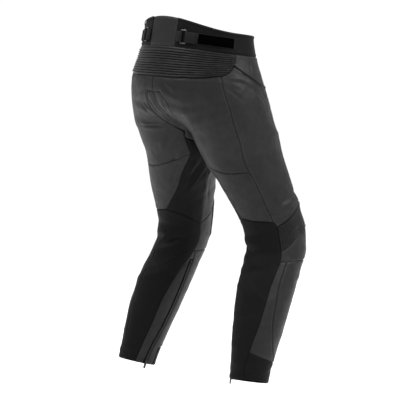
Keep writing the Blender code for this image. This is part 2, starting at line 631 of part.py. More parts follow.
def open_slit(flat, points):
    """Spread the plan above the crotch, where the front and back of a half come apart."""
    crotch_up = up_at([1.0], [CROTCH_Z])[0]
    way = np.where(points[:, 0] > 0, -1, 1)
    return np.column_stack([flat[:, 0] + way * SLIT_SLOPE * np.maximum(flat[:, 1] - crotch_up, 0), flat[:, 1]])


def line_of(seams):
    """The (around, height) points of seams that follow each other, with both ends."""
    names = seams.split()
    return np.concatenate([seam_points(name)[:-1] for name in names] + [seam_points(names[-1])[-1:]])


def shares(points):
    """How far along its line each point lies, from 0 to 1."""
    place = np.concatenate([[0], np.cumsum(np.linalg.norm(np.diff(points, axis=0), axis=1))])
    return place / place[-1]


def risen(points):
    """How far up its line each point lies, from 0 to 1."""
    return (points[:, 1] - points[0, 1]) / (points[-1, 1] - points[0, 1])


def along(points, place, share):
    return np.column_stack([np.interp(share, place, points[:, i]) for i in range(points.shape[1])])


def blend(low, high, start, end, u, v):
    """Points of a four-sided patch between a low, a high, a start and an end line."""
    bottom, top = along(low, shares(low), u), along(high, shares(high), u)
    left, right = along(start, risen(start), v), along(end, risen(end), v)
    u, v = u[:, None], v[:, None]
    corners = ((1 - u) * (1 - v) * low[0] + u * (1 - v) * low[-1] + (1 - u) * v * high[0] + u * v * high[-1])
    return (1 - v) * bottom + v * top + (1 - u) * left + u * right - corners


def patch_piece(name, wall, lines, place, flip, plain_size, ribs=None):
    """A piece made as a four-sided patch, with its ribs raised in the outer points over a plain inside.

    Lines are the low, high, start and end lines in patch coordinates, and place turns patch
    coordinates and a lift into points and outward directions.
    """
    low, high, start, end = lines
    loop = np.concatenate([low[:-1], end[:-1], high[::-1][:-1], start[::-1][:-1]])
    size = len(loop)
    square = np.concatenate([np.column_stack([shares(low)[:-1], np.zeros(len(low) - 1)]),
                             np.column_stack([np.ones(len(end) - 1), risen(end)[:-1]]),
                             np.column_stack([shares(high)[::-1][:-1], np.ones(len(high) - 1)]),
                             np.column_stack([np.zeros(len(start) - 1), risen(start)[::-1][:-1]])])
    turn = -1 if flip else 1

    def skin(u, v, lift, grid_size, rows=()):
        faces = triangles(np.concatenate([square, np.column_stack([u, v])]) * grid_size, size, rows)
        points = np.concatenate([loop, blend(low, high, start, end, u, v)])
        outer, out = place(points, np.concatenate([np.zeros(size), lift]))
        outer[:size] = inset(outer[:size], out[:size], turn)
        return outer, out, faces

    plain_u, plain_v = np.meshgrid(*[(np.arange(n) + 0.5) / n for n in plain_size])
    plain = skin(plain_u.ravel(), plain_v.ravel(), np.zeros(plain_u.size), plain_size)
    outer = plain
    if ribs:
        count = 2 * ribs.count + 1
        v_rows = ribs.low + (ribs.high - ribs.low) * np.arange(count) / (count - 1)
        u_rows = (np.arange(ribs.columns) + 0.5) / ribs.columns
        u, v = np.meshgrid(u_rows, v_rows)
        lift = np.repeat(np.arange(count) % 2 * ribs.rise, ribs.columns)
        rows = [list(range(size + i * ribs.columns, size + (i + 1) * ribs.columns)) for i in range(count)]
        outer = skin(u.ravel(), v.ravel(), lift, (ribs.columns, count * 0.7), rows)
    inner_points = plain[0] - plain[1] * wall
    return make_wall(name, outer[0], inner_points, outer[2], plain[2], size, flip)


def across_back(seams):
    """Seams that run outwards from the centre back, of both halves, as one line from right to left."""
    half = line_of(seams)
    half = np.column_stack([1 - half[:, 0], half[:, 1]])
    return np.concatenate([half[::-1] * (-1, 1), half[1:]])


def place_across(points, lift):
    """Points of a piece that crosses the centre back, from (signed around from the back, height)."""
    around, height = 1 - np.abs(points[:, 0]), points[:, 1]
    outer, out = np.empty((len(points), 3)), np.empty((len(points), 3))
    for side in SIDES:
        mine = points[:, 0] * side >= 0
        outer[mine] = cloth(around[mine], height[mine], side, lift[mine])
        out[mine] = normals(around[mine], height[mine], side)
    return outer, out


def make_waistband_back():
    edge = line_of("band_join")[::-1]
    edge = np.column_stack([1 - edge[:, 0], edge[:, 1]])
    lines = across_back("band_back"), across_back("top_back"), edge * (-1, 1), edge
    return patch_piece("waistband_back", LEATHER, lines, place_across, True, (5, 2))


def make_yoke():
    edge = line_of("yoke_round yoke_end")
    edge = np.column_stack([1 - edge[:, 0], edge[:, 1]])
    lines = across_back("yoke_low"), across_back("band_back band_side"), edge * (-1, 1), edge
    return patch_piece("yoke_back_ribbed", STRETCH, lines, place_across, True, (16, 3), YOKE_RIBS)


def make_accordion(side):
    def place(points, lift):
        return (cloth(points[:, 0], points[:, 1], side, lift), normals(points[:, 0], points[:, 1], side))

    lines = [line_of("ribs_low"), line_of("ribs_top_side ribs_top_front"),
             line_of("-ribs_end_side"), line_of("-ribs_end_inner")]
    return patch_piece("knee_accordion_" + SIDES[side], STRETCH, lines, place, side > 0, (9, 3), KNEE_RIBS)


# Straps and trims that lie on the pieces

def unit(vectors):
    return vectors / np.linalg.norm(vectors, axis=-1, keepdims=True)


def ribbon(name, middles, outs, width, thick, way=None):
    """A flat strip swept along points, facing outs, with square ends; way is its direction where it turns back."""
    middles, outs = np.asarray(middles), np.asarray(outs)
    ahead = unit(np.gradient(middles, axis=0))
    laterals = unit(np.cross(outs, ahead if way is None else way))
    up = unit(np.cross(laterals, ahead))
    corners = [(-1, -1), (1, -1), (1, 1), (-1, 1)]
    points = [m + lateral * a * width / 2 + way * b * thick / 2
              for m, lateral, way in zip(middles, laterals, up) for a, b in corners]
    faces = [[0, 1, 2, 3], [len(points) - 4 + i for i in (3, 2, 1, 0)]]
    for i in range(len(middles) - 1):
        for k in range(4):
            j = (k + 1) % 4
            faces.append([4 * i + k, 4 * i + 4 + k, 4 * i + 4 + j, 4 * i + j])
    face_outwards(make_object(name, points, faces))


def face_outwards(obj):
    shape = bmesh.new()
    shape.from_mesh(obj.data)
    bmesh.ops.recalc_face_normals(shape, faces=shape.faces)
    shape.to_mesh(obj.data)
    shape.free()


def laid_strip(name, route, side, width, thick, lift, step=0.008):
    """A strip that lies on the cloth along a route of (around, height), its underside at lift."""
    curve = smooth_curve([(a * ROUND_SPAN, z) for a, z in route], 160)
    around, height = np.round(curve[:, 0] / ROUND_SPAN, 9), curve[:, 1]
    points = cloth(around, height, side, lift + thick / 2)
    place = np.concatenate([[0], np.cumsum(np.linalg.norm(np.diff(points, axis=0), axis=1))])
    count = max(3, round(place[-1] / step))
    pick = np.interp(np.linspace(0, place[-1], count + 1), place, np.arange(160)).round().astype(int)
    ribbon(name, points[pick], normals(around[pick], height[pick], side), width, thick)


def make_trims(side):
    """The welt of the hip pocket, and the tape and coil of the calf zip."""
    name = SIDES[side]
    seam = SEAMS["pocket_seam"]
    route = [CORNERS[seam.first]] + seam.between + [CORNERS[seam.last]]
    route = [(around - WELT_AHEAD, height + WELT_WIDTH * 0.75) for around, height in route]
    laid_strip("pocket_welt_" + name, route, side, WELT_WIDTH, WELT_THICK, LAID_GAP)
    wall_piece("calf_zip_" + name, 0.0012, 0.95, 0.026, "zip_head zip_back hem_zip -zip_front", side,
               lift=-ZIP_SUNK)
    laid_strip("zip_coil_" + name, ZIP_LINE, side, 0.0045, COIL_HEIGHT, LAID_GAP - ZIP_SUNK + 0.0002)


def make_front():
    """The placket over the front opening, and the tab and stud that close the band."""
    wall_piece("fly_placket", 0.0018, -0.9, 0.013, "placket_top placket_curve placket_middle", LEFT,
               lift=0.0018 + LAID_GAP)
    middles, outs = [], []
    for turn in np.linspace(*TAB_ENDS, 9):
        side, around = (RIGHT if turn < 0 else LEFT), -1 + abs(turn)
        height = (band_top(around) + band_bottom(around)) / 2
        middles.append(cloth(around, height, side, TAB_LIFT + TAB_THICK / 2))
        outs.append(normals(np.asarray(around), np.asarray(height), side))
    ribbon("waist_tab", middles, outs, TAB_WIDTH, TAB_THICK)
    shape = bmesh.new()
    bmesh.ops.create_cone(shape, cap_ends=True, segments=20, radius1=SNAP_RADIUS, radius2=SNAP_RADIUS * 0.9,
                          depth=SNAP_HEIGHT)
    snap = make_object("waist_snap", [], [])
    shape.to_mesh(snap.data)
    shape.free()
    middle, out = middles[SNAP_ON], outs[SNAP_ON]
    snap.location = middle + out * (TAB_THICK + SNAP_HEIGHT) / 2 + out * LAID_GAP
    snap.rotation_euler = Vector(out).to_track_quat("Z", "Y").to_euler()


class BandLine:
    """The line of a waist adjuster along the band, measured forwards from the middle of its ring."""

    def __init__(self, side):
        self.side = side
        self.around = np.linspace(0.85, 0.10, 300)
        self.height = band_bottom(self.around) + ADJUSTER_RISE
        points = cloth(self.around, self.height, side)
        place = np.concatenate([[0], np.cumsum(np.linalg.norm(np.diff(points, axis=0), axis=1))])
        self.place = place - np.interp(-RING_AROUND, -self.around, place)

    def point(self, ahead, lift):
        """A point at a distance ahead of the ring's middle, the way out there and the way ahead."""
        around = np.interp(ahead, self.place, self.around)
        height = np.interp(ahead, self.place, self.height)
        further = np.interp(np.asarray(ahead) + 0.001, self.place, self.around)
        step = cloth(further, height, self.side) - cloth(around, height, self.side)
        middle = cloth(around, height, self.side, lift + BAND_HOLLOW)
        return middle, normals(around, height, self.side), unit(step)

    def ahead_of(self, around):
        return float(np.interp(-around, -self.around, self.place))


def make_strap(name, line, low_end, high_end, end_lift, width):
    """A strap round one bar of the ring: from its low end to the bar, round it and back to its high end.

    The ends are distances ahead of the ring's middle, both ahead or both behind.
    """
    way = 1 if low_end > 0 else -1
    radius = (WIRE + STRAP_THICK) / 2 + LAID_GAP
    bar = (RING_LENGTH - WIRE) / 2
    turn = np.linspace(-math.pi / 2, math.pi / 2, 7)
    low = np.arange(abs(low_end), bar + 0.002, -0.012)
    high = np.arange(bar + 0.003, abs(high_end), 0.008)
    drop = np.linspace(0, 1, len(high)) ** 2 * (BAR_LIFT + radius - end_lift)
    ahead = np.concatenate([low, bar - radius * np.cos(turn), high])
    lift = np.concatenate([0 * low + BAR_LIFT - radius, BAR_LIFT + radius * np.sin(turn),
                           BAR_LIFT + radius - drop])
    middles, outs, forward = line.point(way * ahead, lift)
    ribbon(name, middles, outs, width, STRAP_THICK, forward)


def make_adjuster(side):
    """A flat ring held by a short anchor, and a strap that comes through it and folds back on itself."""
    line, name = BandLine(side), SIDES[side]
    on_strap = 2 * LAID_GAP + 1.5 * STRAP_THICK
    make_strap("adjuster_strap_" + name, line, line.ahead_of(STRAP_FRONT), line.ahead_of(STRAP_BACK), on_strap,
               STRAP_WIDTH)
    anchor = line.ahead_of(ANCHOR_END)
    make_strap("adjuster_anchor_" + name, line, anchor, anchor, on_strap, ANCHOR_WIDTH)
    ahead = np.linspace(line.ahead_of(STRAP_BACK - 0.02), line.ahead_of(STRAP_FRONT + 0.012), 13)
    middles, outs, _ = line.point(ahead, on_strap)
    ribbon("hook_patch_" + name, middles, outs, HOOK_WIDTH, STRAP_THICK)

    center, out, forward = line.point(0.0, BAR_LIFT)
    up = np.cross(out, forward)
    half = np.array([RING_LENGTH, RING_WIDTH]) / 2 - WIRE / 2 - RING_CORNER
    curve = bpy.data.curves.new("adjuster_ring_" + name, "CURVE")
    curve.dimensions = "3D"
    curve.bevel_depth = WIRE / 2
    curve.bevel_resolution = 1
    spline = curve.splines.new("POLY")
    spline.points.add(15)
    spline.use_cyclic_u = True
    for i, point in enumerate(spline.points):
        angle = math.radians(90 * (i // 4) + 30 * (i % 4))
        quarter = math.radians(90 * (i // 4) + 45)
        x, y = RING_CORNER * math.cos(angle), RING_CORNER * math.sin(angle)
        x += half[0] * math.copysign(1, math.cos(quarter))
        y += half[1] * math.copysign(1, math.sin(quarter))
        point.co = (*(center + forward * x + up * y), 1)
    curve.materials.append(material("plastic"))
    bpy.context.scene.collection.objects.link(bpy.data.objects.new("adjuster_ring_" + name, curve))


def make_box(name, low, high):
    corners = [(x, y, z) for x in (low[0], high[0]) for y in (low[1], high[1]) for z in (low[2], high[2])]
    faces = [[0, 1, 3, 2], [4, 6, 7, 5], [0, 4, 5, 1], [2, 3, 7, 6], [0, 2, 6, 4], [1, 5, 7, 3]]
    box = make_object(name, corners, faces)
    face_outwards(box)
    return box


def make_slider(side):
    """The zip's slider at the hem with its bridge, and the pull tab that swings on an axis under the bridge.

    Both are made round that axis: X across the zip, Y down it and Z outwards.
    """
    name = SIDES[side]
    around, height = ZIP_LINE[-1][0], ZIP_LINE[-1][1] + SLIDER_RISE
    down = unit(cloth(around, height - 0.004, side) - cloth(around, height + 0.004, side))
    out = normals(np.asarray(around), np.asarray(height), side)
    out = unit(out - down * np.dot(out, down))
    turned = np.column_stack([np.cross(down, out), down, out])
    frame = Matrix([(*row, place) for row, place in zip(turned, cloth(around, height, side, AXIS_LIFT))]
                   + [(0, 0, 0, 1)])

    over_coil = COIL_HEIGHT - ZIP_SUNK + 3 * LAID_GAP - AXIS_LIFT
    slider = make_box("zip_slider_" + name, (-SLIDER_HALF[0], -SLIDER_HALF[1], over_coil),
                      (SLIDER_HALF[0], SLIDER_HALF[1], -BRIDGE_ROOM))
    into_plate = -BRIDGE_ROOM - SEAM_GAP
    wide, tall = BRIDGE_INNER + BRIDGE_THICK, BRIDGE_ROOM + BRIDGE_THICK
    profile = [(-wide, into_plate), (-wide, tall), (wide, tall), (wide, into_plate),
               (BRIDGE_INNER, into_plate), (BRIDGE_INNER, BRIDGE_ROOM), (-BRIDGE_INNER, BRIDGE_ROOM),
               (-BRIDGE_INNER, into_plate)]
    points = [(x, y, z) for x in (-BRIDGE_HALF, BRIDGE_HALF) for y, z in profile]
    faces = [list(range(8)), list(range(15, 7, -1))]
    faces += [[i, i + 8, (i + 1) % 8 + 8, (i + 1) % 8] for i in range(8)]
    bridge = make_object("zip_bridge_" + name, points, faces)
    face_outwards(bridge)
    bridge.hide_render = True
    bridge.display_type = "WIRE"
    union = slider.modifiers.new("bridge", "BOOLEAN")
    union.operation = "UNION"
    union.object = bridge

    points = [(x, y, 0) for y, half in PULL_ROWS
              for x in (-half, -min(PULL_EYE, half * 0.6), min(PULL_EYE, half * 0.6), half)]
    faces = [[4 * i + k, 4 * i + k + 1, 4 * i + k + 5, 4 * i + k + 4]
             for i in range(len(PULL_ROWS) - 1) for k in range(3) if (i, k) != (1, 1)]
    pull = make_object("zip_pull_" + name, points, faces)
    plate = pull.modifiers.new("thickness", "SOLIDIFY")
    plate.thickness = PULL_THICK
    plate.offset = 0
    for piece in (slider, bridge, pull):
        piece.matrix_world = frame


for old in list(bpy.data.objects):
    bpy.data.objects.remove(old)
for piece in PIECES:
    for side in SIDES:
        wall_piece(piece.name + "_" + SIDES[side], piece.wall, piece.middle, piece.pitch, piece.seams, side,
                   slit=piece.name == "crotch_gusset")
make_waistband_back()
make_yoke()
make_front()
for side in SIDES:
    make_accordion(side)
    make_trims(side)
    make_adjuster(side)
    make_slider(side)
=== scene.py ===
"""The looks of leather and stretch motorcycle trousers, filled out as worn.

Every panel is made again from the garment's own tables with its finer form: rolled seam edges, small
wrinkles, ribs, stitches and zip teeth. A point on a half is (around, height), as in the part's source.
"""
import math
from collections import namedtuple

import bpy
import numpy as np
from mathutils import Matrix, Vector, noise
from mathutils.geometry import delaunay_2d_cdt


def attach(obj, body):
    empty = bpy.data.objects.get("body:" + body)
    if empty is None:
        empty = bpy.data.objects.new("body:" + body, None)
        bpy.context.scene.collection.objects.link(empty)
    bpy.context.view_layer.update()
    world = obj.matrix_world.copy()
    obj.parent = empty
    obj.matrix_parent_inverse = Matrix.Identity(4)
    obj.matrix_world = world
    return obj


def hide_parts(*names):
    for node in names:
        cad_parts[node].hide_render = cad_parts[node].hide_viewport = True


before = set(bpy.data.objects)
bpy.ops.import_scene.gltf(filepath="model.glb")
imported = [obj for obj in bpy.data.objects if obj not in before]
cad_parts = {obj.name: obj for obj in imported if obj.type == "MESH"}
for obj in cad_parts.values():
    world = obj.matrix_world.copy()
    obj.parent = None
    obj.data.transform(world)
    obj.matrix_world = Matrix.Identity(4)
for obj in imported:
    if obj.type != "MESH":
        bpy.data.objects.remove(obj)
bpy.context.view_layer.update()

# Driving sizes
HIP_Z = -0.085          # the legs begin to part below this height
CROTCH_Z = -0.250       # and are parted here
FRONT_POWER = 4.5       # how late the front of the hips gives way to the legs
BACK_POWER = 4.0
SEAM_GAP = 0.0003
LEATHER = 0.0020
STRETCH = 0.0016
LEFT, RIGHT = 1, -1
SIDES = {LEFT: "left", RIGHT: "right"}

# Level sections of one leg: middle, half sizes across and fore-and-aft, and outward turn in degrees
Leg = namedtuple("Leg", "z x y half_width half_depth turn")
LEG = [
    Leg(0.060, 0.0850, 0.0000, 0.0850, 0.1100, 0),
    Leg(-0.100, 0.0950, 0.0000, 0.0960, 0.1240, 0),
    Leg(-0.180, 0.1000, -0.0050, 0.1020, 0.1220, 0),
    Leg(-0.250, 0.1065, -0.0220, 0.1065, 0.1170, 0),
    Leg(-0.310, 0.1145, -0.0420, 0.0990, 0.1080, 11),
    Leg(-0.380, 0.1410, -0.0630, 0.0865, 0.0955, 18),
    Leg(-0.450, 0.1620, -0.0850, 0.0760, 0.0860, 21),
    Leg(-0.500, 0.1745, -0.0985, 0.0705, 0.0825, 21),
    Leg(-0.550, 0.1810, -0.0970, 0.0675, 0.0800, 18),
    Leg(-0.640, 0.1930, -0.0565, 0.0695, 0.0795, 9),
    Leg(-0.720, 0.2035, -0.0230, 0.0655, 0.0740, 3),
    Leg(-0.800, 0.2125, 0.0060, 0.0565, 0.0625, 0),
    Leg(-0.870, 0.2200, 0.0300, 0.0505, 0.0540, 0),
    Leg(-0.940, 0.2260, 0.0500, 0.0480, 0.0500, 0),
]

# Level sections of the hips: half width, and depth in front of and behind the middle
Torso = namedtuple("Torso", "z half_width front back")
TORSO = [
    Torso(0.060, 0.1600, 0.104, 0.124),
    Torso(-0.045, 0.1750, 0.107, 0.147),
    Torso(-0.110, 0.1945, 0.123, 0.168),
    Torso(-0.180, 0.2090, 0.150, 0.159),
    Torso(-0.250, 0.2130, 0.187, 0.141),
]

# Heights of the waistband's edges and of the hem, as waves round the body
BAND_TOP = (0.0093, 0.0173, 0.0107, 0.0187)
BAND_BOTTOM = (-0.045, 0.018, 0.007)
HEM = (-0.8805, 0.0120, 0.0035)


def band_top(around):
    wave = np.sin(math.pi / 2 * around)
    return BAND_TOP[0] + BAND_TOP[1] * wave + BAND_TOP[2] * wave ** 2 + BAND_TOP[3] * wave ** 3


def band_bottom(around):
    wave = np.sin(math.pi / 2 * around)
    return BAND_BOTTOM[0] + BAND_BOTTOM[1] * wave + BAND_BOTTOM[2] * wave ** 2


def hem(around):
    return HEM[0] + HEM[1] * np.sin(math.pi * around) + HEM[2] * np.cos(math.pi * around)


# Where three or more pieces meet on a half: around, height
CORNERS = {
    "top_back": (1.0, band_top(1.0)),
    "top_edge": (0.81, band_top(0.81)),
    "top_front": (-1.0, band_top(-1.0)),
    "band_back": (1.0, band_bottom(1.0)),
    "band_edge": (0.815, band_bottom(0.815)),
    "band_yoke": (0.15, band_bottom(0.15)),
    "band_front": (-1.0, band_bottom(-1.0)),
    "yoke_back": (1.0, -0.0985),
    "yoke_corner": (0.328, -0.0945),
    "yoke_pocket": (0.18, -0.069),
    "pocket_end": (-0.37, -0.135),
    "gusset_top": (1.0, -0.137),
    "gusset_edge": (0.925, -0.137),
    "gusset_back": (0.80, -0.268),
    "gusset_front": (-0.93, -0.270),
    "gusset_point": (-1.0, -0.170),
    "crotch_back": (1.0, CROTCH_Z),
    "crotch_front": (-1.0, CROTCH_Z),
    "thigh_side": (0.135, -0.345),
    "thigh_inner": (0.775, -0.310),
    "knee_side": (0.080, -0.474),
    "knee_middle": (0.460, -0.4685),
    "knee_inner": (0.865, -0.508),
    "ribs_side_top": (0.055, -0.487),
    "ribs_front_top": (-0.380, -0.431),
    "ribs_inner_top": (-0.900, -0.470),
    "ribs_side_low": (0.058, -0.550),
    "ribs_inner_low": (-0.840, -0.556),
    "cup_side": (0.062, -0.578),
    "cup_pintuck": (-0.010, -0.5785),
    "cup_zip": (-1.080, -0.583),
    "cup_inner": (0.888, -0.582),
    "zip_top_back": (0.922, -0.606),
    "zip_top_front": (-1.032, -0.606),
    "gaiter_side": (0.290, -0.800),
    "gaiter_pintuck": (-0.17, -0.832),
    "gaiter_inner": (-0.90, -0.842),
    "hem_side": (0.32, hem(0.32)),
    "hem_inner": (0.745, hem(0.745)),
    "hem_zip_back": (0.888, hem(0.888)),
    "hem_zip_front": (-1.063, hem(-1.063)),
    "hem_gaiter": (-0.90, hem(-0.90)),
    "placket_top": (-0.995, band_bottom(-1.0) - 0.003),
    "placket_side": (-0.862, band_bottom(-0.862) - 0.003),
    "placket_end": (-0.995, -0.160),
}

# Seams of a half: first corner, last corner and the points between that shape the seam
Seam = namedtuple("Seam", "first last between")
SEAMS = {
    "top_back": Seam("top_back", "top_edge", band_top),
    "top_side": Seam("top_edge", "top_front", band_top),
    "band_back": Seam("band_back", "band_edge", band_bottom),
    "band_side": Seam("band_edge", "band_yoke", band_bottom),
    "band_hip": Seam("band_yoke", "band_front", band_bottom),
    "band_back_middle": Seam("top_back", "band_back", []),
    "band_join": Seam("top_edge", "band_edge", []),
    "band_front_middle": Seam("top_front", "band_front", []),
    "yoke_middle": Seam("band_back", "yoke_back", []),
    "yoke_low": Seam("yoke_back", "yoke_corner", [(0.72, -0.099), (0.50, -0.098)]),
    "yoke_round": Seam("yoke_corner", "yoke_pocket", [(0.255, -0.087), (0.21, -0.0785)]),
    "yoke_end": Seam("yoke_pocket", "band_yoke", [(0.155, -0.055)]),
    "seat_middle": Seam("yoke_back", "gusset_top", []),
    "gusset_top": Seam("gusset_top", "gusset_edge", []),
    "gusset_edge": Seam("gusset_edge", "gusset_back", [(0.88, -0.165), (0.862, -0.205), (0.838, -0.238)]),
    "gusset_low": Seam("gusset_back", "gusset_front", [(0.86, -0.276), (1.0, -0.286)]),
    "gusset_rise": Seam("gusset_front", "gusset_point", [(-0.925, -0.225), (-0.96, -0.190)]),
    "gusset_middle_back": Seam("gusset_top", "crotch_back", []),
    "gusset_middle_front": Seam("crotch_front", "gusset_point", []),
    "front_middle": Seam("band_front", "gusset_point", []),
    "side_high": Seam("yoke_corner", "thigh_side", [(0.300, -0.155), (0.250, -0.205), (0.183, -0.268)]),
    "side_low": Seam("thigh_side", "knee_side", [(0.107, -0.390), (0.097, -0.433)]),
    "pocket_seam": Seam("yoke_pocket", "pocket_end", [(0.10, -0.085), (-0.05, -0.108), (-0.20, -0.124)]),
    "side_front": Seam("pocket_end", "ribs_front_top", [(-0.40, -0.200), (-0.40, -0.320)]),
    "thigh_cross": Seam("thigh_side", "thigh_inner", [(0.375, -0.348), (0.59, -0.334)]),
    "inner_high": Seam("gusset_back", "thigh_inner", []),
    "inner_low": Seam("thigh_inner", "knee_middle", [(0.703, -0.348), (0.607, -0.410)]),
    "inner_front": Seam("gusset_front", "knee_inner", [(-1.04, -0.353), (-1.11, -0.433)]),
    "knee_top_side": Seam("knee_side", "knee_middle", [(0.25, -0.473)]),
    "knee_top_inner": Seam("knee_middle", "knee_inner", [(0.613, -0.480)]),
    "knee_edge_top": Seam("knee_side", "ribs_side_top", []),
    "ribs_end_side": Seam("ribs_side_top", "ribs_side_low", [(0.064, -0.520)]),
    "ribs_top_side": Seam("ribs_side_top", "ribs_front_top", [(-0.05, -0.475), (-0.155, -0.460)]),
    "ribs_top_front": Seam("ribs_front_top", "ribs_inner_top", [(-0.58, -0.427), (-0.76, -0.443)]),
    "ribs_end_inner": Seam("ribs_inner_top", "ribs_inner_low", []),
    "ribs_low": Seam("ribs_side_low", "ribs_inner_low",
                     [(-0.027, -0.540), (-0.12, -0.525), (-0.315, -0.500), (-0.50, -0.496), (-0.68, -0.514)]),
    "knee_inner_step": Seam("knee_inner", "ribs_inner_top", [(0.95, -0.497)]),
    "cup_edge_side": Seam("ribs_side_low", "cup_side", []),
    "cup_edge_inner": Seam("knee_inner", "cup_inner", [(0.893, -0.550)]),
    "cup_low_side": Seam("cup_side", "cup_pintuck", []),
    "cup_low_front": Seam("cup_pintuck", "cup_zip", [(-0.3, -0.578), (-0.7, -0.585)]),
    "cup_low_inner": Seam("cup_zip", "cup_inner", []),
    "calf_edge_side": Seam("cup_side", "gaiter_side",
                           [(0.117, -0.623), (0.175, -0.695), (0.215, -0.740), (0.258, -0.773)]),
    "gaiter_edge": Seam("gaiter_side", "hem_side", [(0.333, -0.835)]),
    "calf_edge_inner": Seam("cup_inner", "hem_inner",
                            [(0.850, -0.635), (0.820, -0.703), (0.815, -0.773), (0.775, -0.833)]),
    "pintuck": Seam("cup_pintuck", "gaiter_pintuck",
                    [(0.035, -0.630), (0.048, -0.685), (0.035, -0.738), (-0.025, -0.783)]),
    "gaiter_top_side": Seam("gaiter_side", "gaiter_pintuck", [(0.103, -0.815)]),
    "gaiter_top_front": Seam("gaiter_pintuck", "gaiter_inner", [(-0.55, -0.843)]),
    "gaiter_end": Seam("gaiter_inner", "hem_gaiter", []),
    "zip_seam": Seam("cup_zip", "zip_top_front", []),
    "zip_head": Seam("zip_top_front", "zip_top_back", []),
    "zip_back": Seam("zip_top_back", "hem_zip_back",
                     [(0.967, -0.670), (0.989, -0.735), (0.977, -0.785), (0.930, -0.830)]),
    "zip_front": Seam("zip_top_front", "hem_zip_front",
                      [(-0.987, -0.670), (-0.965, -0.735), (-0.977, -0.785), (-1.020, -0.830)]),
    "placket_top": Seam("placket_top", "placket_side", []),
    "placket_curve": Seam("placket_side", "placket_end",
                          [(-0.866, -0.110), (-0.882, -0.138), (-0.93, -0.156)]),
    "placket_middle": Seam("placket_end", "placket_top", []),
    "hem_back": Seam("hem_side", "hem_inner", hem),
    "hem_calf": Seam("hem_inner", "hem_zip_back", hem),
    "hem_zip": Seam("hem_zip_back", "hem_zip_front", hem),
    "hem_shin": Seam("hem_zip_front", "hem_gaiter", hem),
    "hem_gaiter": Seam("hem_gaiter", "hem_side", hem),
}

# Pieces of a half: the seams round each, in order; a minus sign runs a seam backwards. Around values
# are kept within one of the middle column.
Piece = namedtuple("Piece", "name wall middle seams")
PIECES = [
    Piece("waistband_side", STRETCH, -0.1,
          "top_side band_front_middle -band_hip -band_side -band_join"),
    Piece("seat", LEATHER, 0.6,
          "yoke_low side_high thigh_cross -inner_high -gusset_edge -gusset_top -seat_middle"),
    Piece("crotch_gusset", LEATHER, 0.95,
          "gusset_top gusset_edge gusset_low gusset_rise -gusset_middle_front -gusset_middle_back"),
    Piece("thigh_back", LEATHER, 0.5,
          "-thigh_cross side_low knee_top_side -inner_low"),
    Piece("side_panel", LEATHER, 0.0,
          "yoke_round pocket_seam side_front -ribs_top_side -knee_edge_top -side_low -side_high"),
    Piece("front_thigh", LEATHER, -0.5,
          "band_hip front_middle -gusset_rise inner_front knee_inner_step -ribs_top_front -side_front "
          "-pocket_seam yoke_end"),
    Piece("inner_thigh", STRETCH, 0.8,
          "gusset_low inner_front -knee_top_inner -inner_low -inner_high"),
    Piece("knee_cup", LEATHER, -0.5,
          "ribs_low -ribs_end_inner -knee_inner_step cup_edge_inner -cup_low_inner -cup_low_front "
          "-cup_low_side -cup_edge_side"),
    Piece("knee_back", STRETCH, 0.5,
          "-knee_top_side knee_edge_top ribs_end_side cup_edge_side calf_edge_side gaiter_edge hem_back "
          "-calf_edge_inner -cup_edge_inner -knee_top_inner"),
    Piece("calf_outer", LEATHER, 0.1,
          "cup_low_side pintuck -gaiter_top_side -calf_edge_side"),
    Piece("shin", LEATHER, -0.5,
          "cup_low_front zip_seam zip_front hem_shin -gaiter_end -gaiter_top_front -pintuck"),
    Piece("calf_inner", LEATHER, 0.85,
          "cup_low_inner calf_edge_inner hem_calf -zip_back -zip_head -zip_seam"),
    Piece("calf_gaiter", STRETCH, -0.3,
          "gaiter_top_side gaiter_top_front gaiter_end hem_gaiter -gaiter_edge"),
]

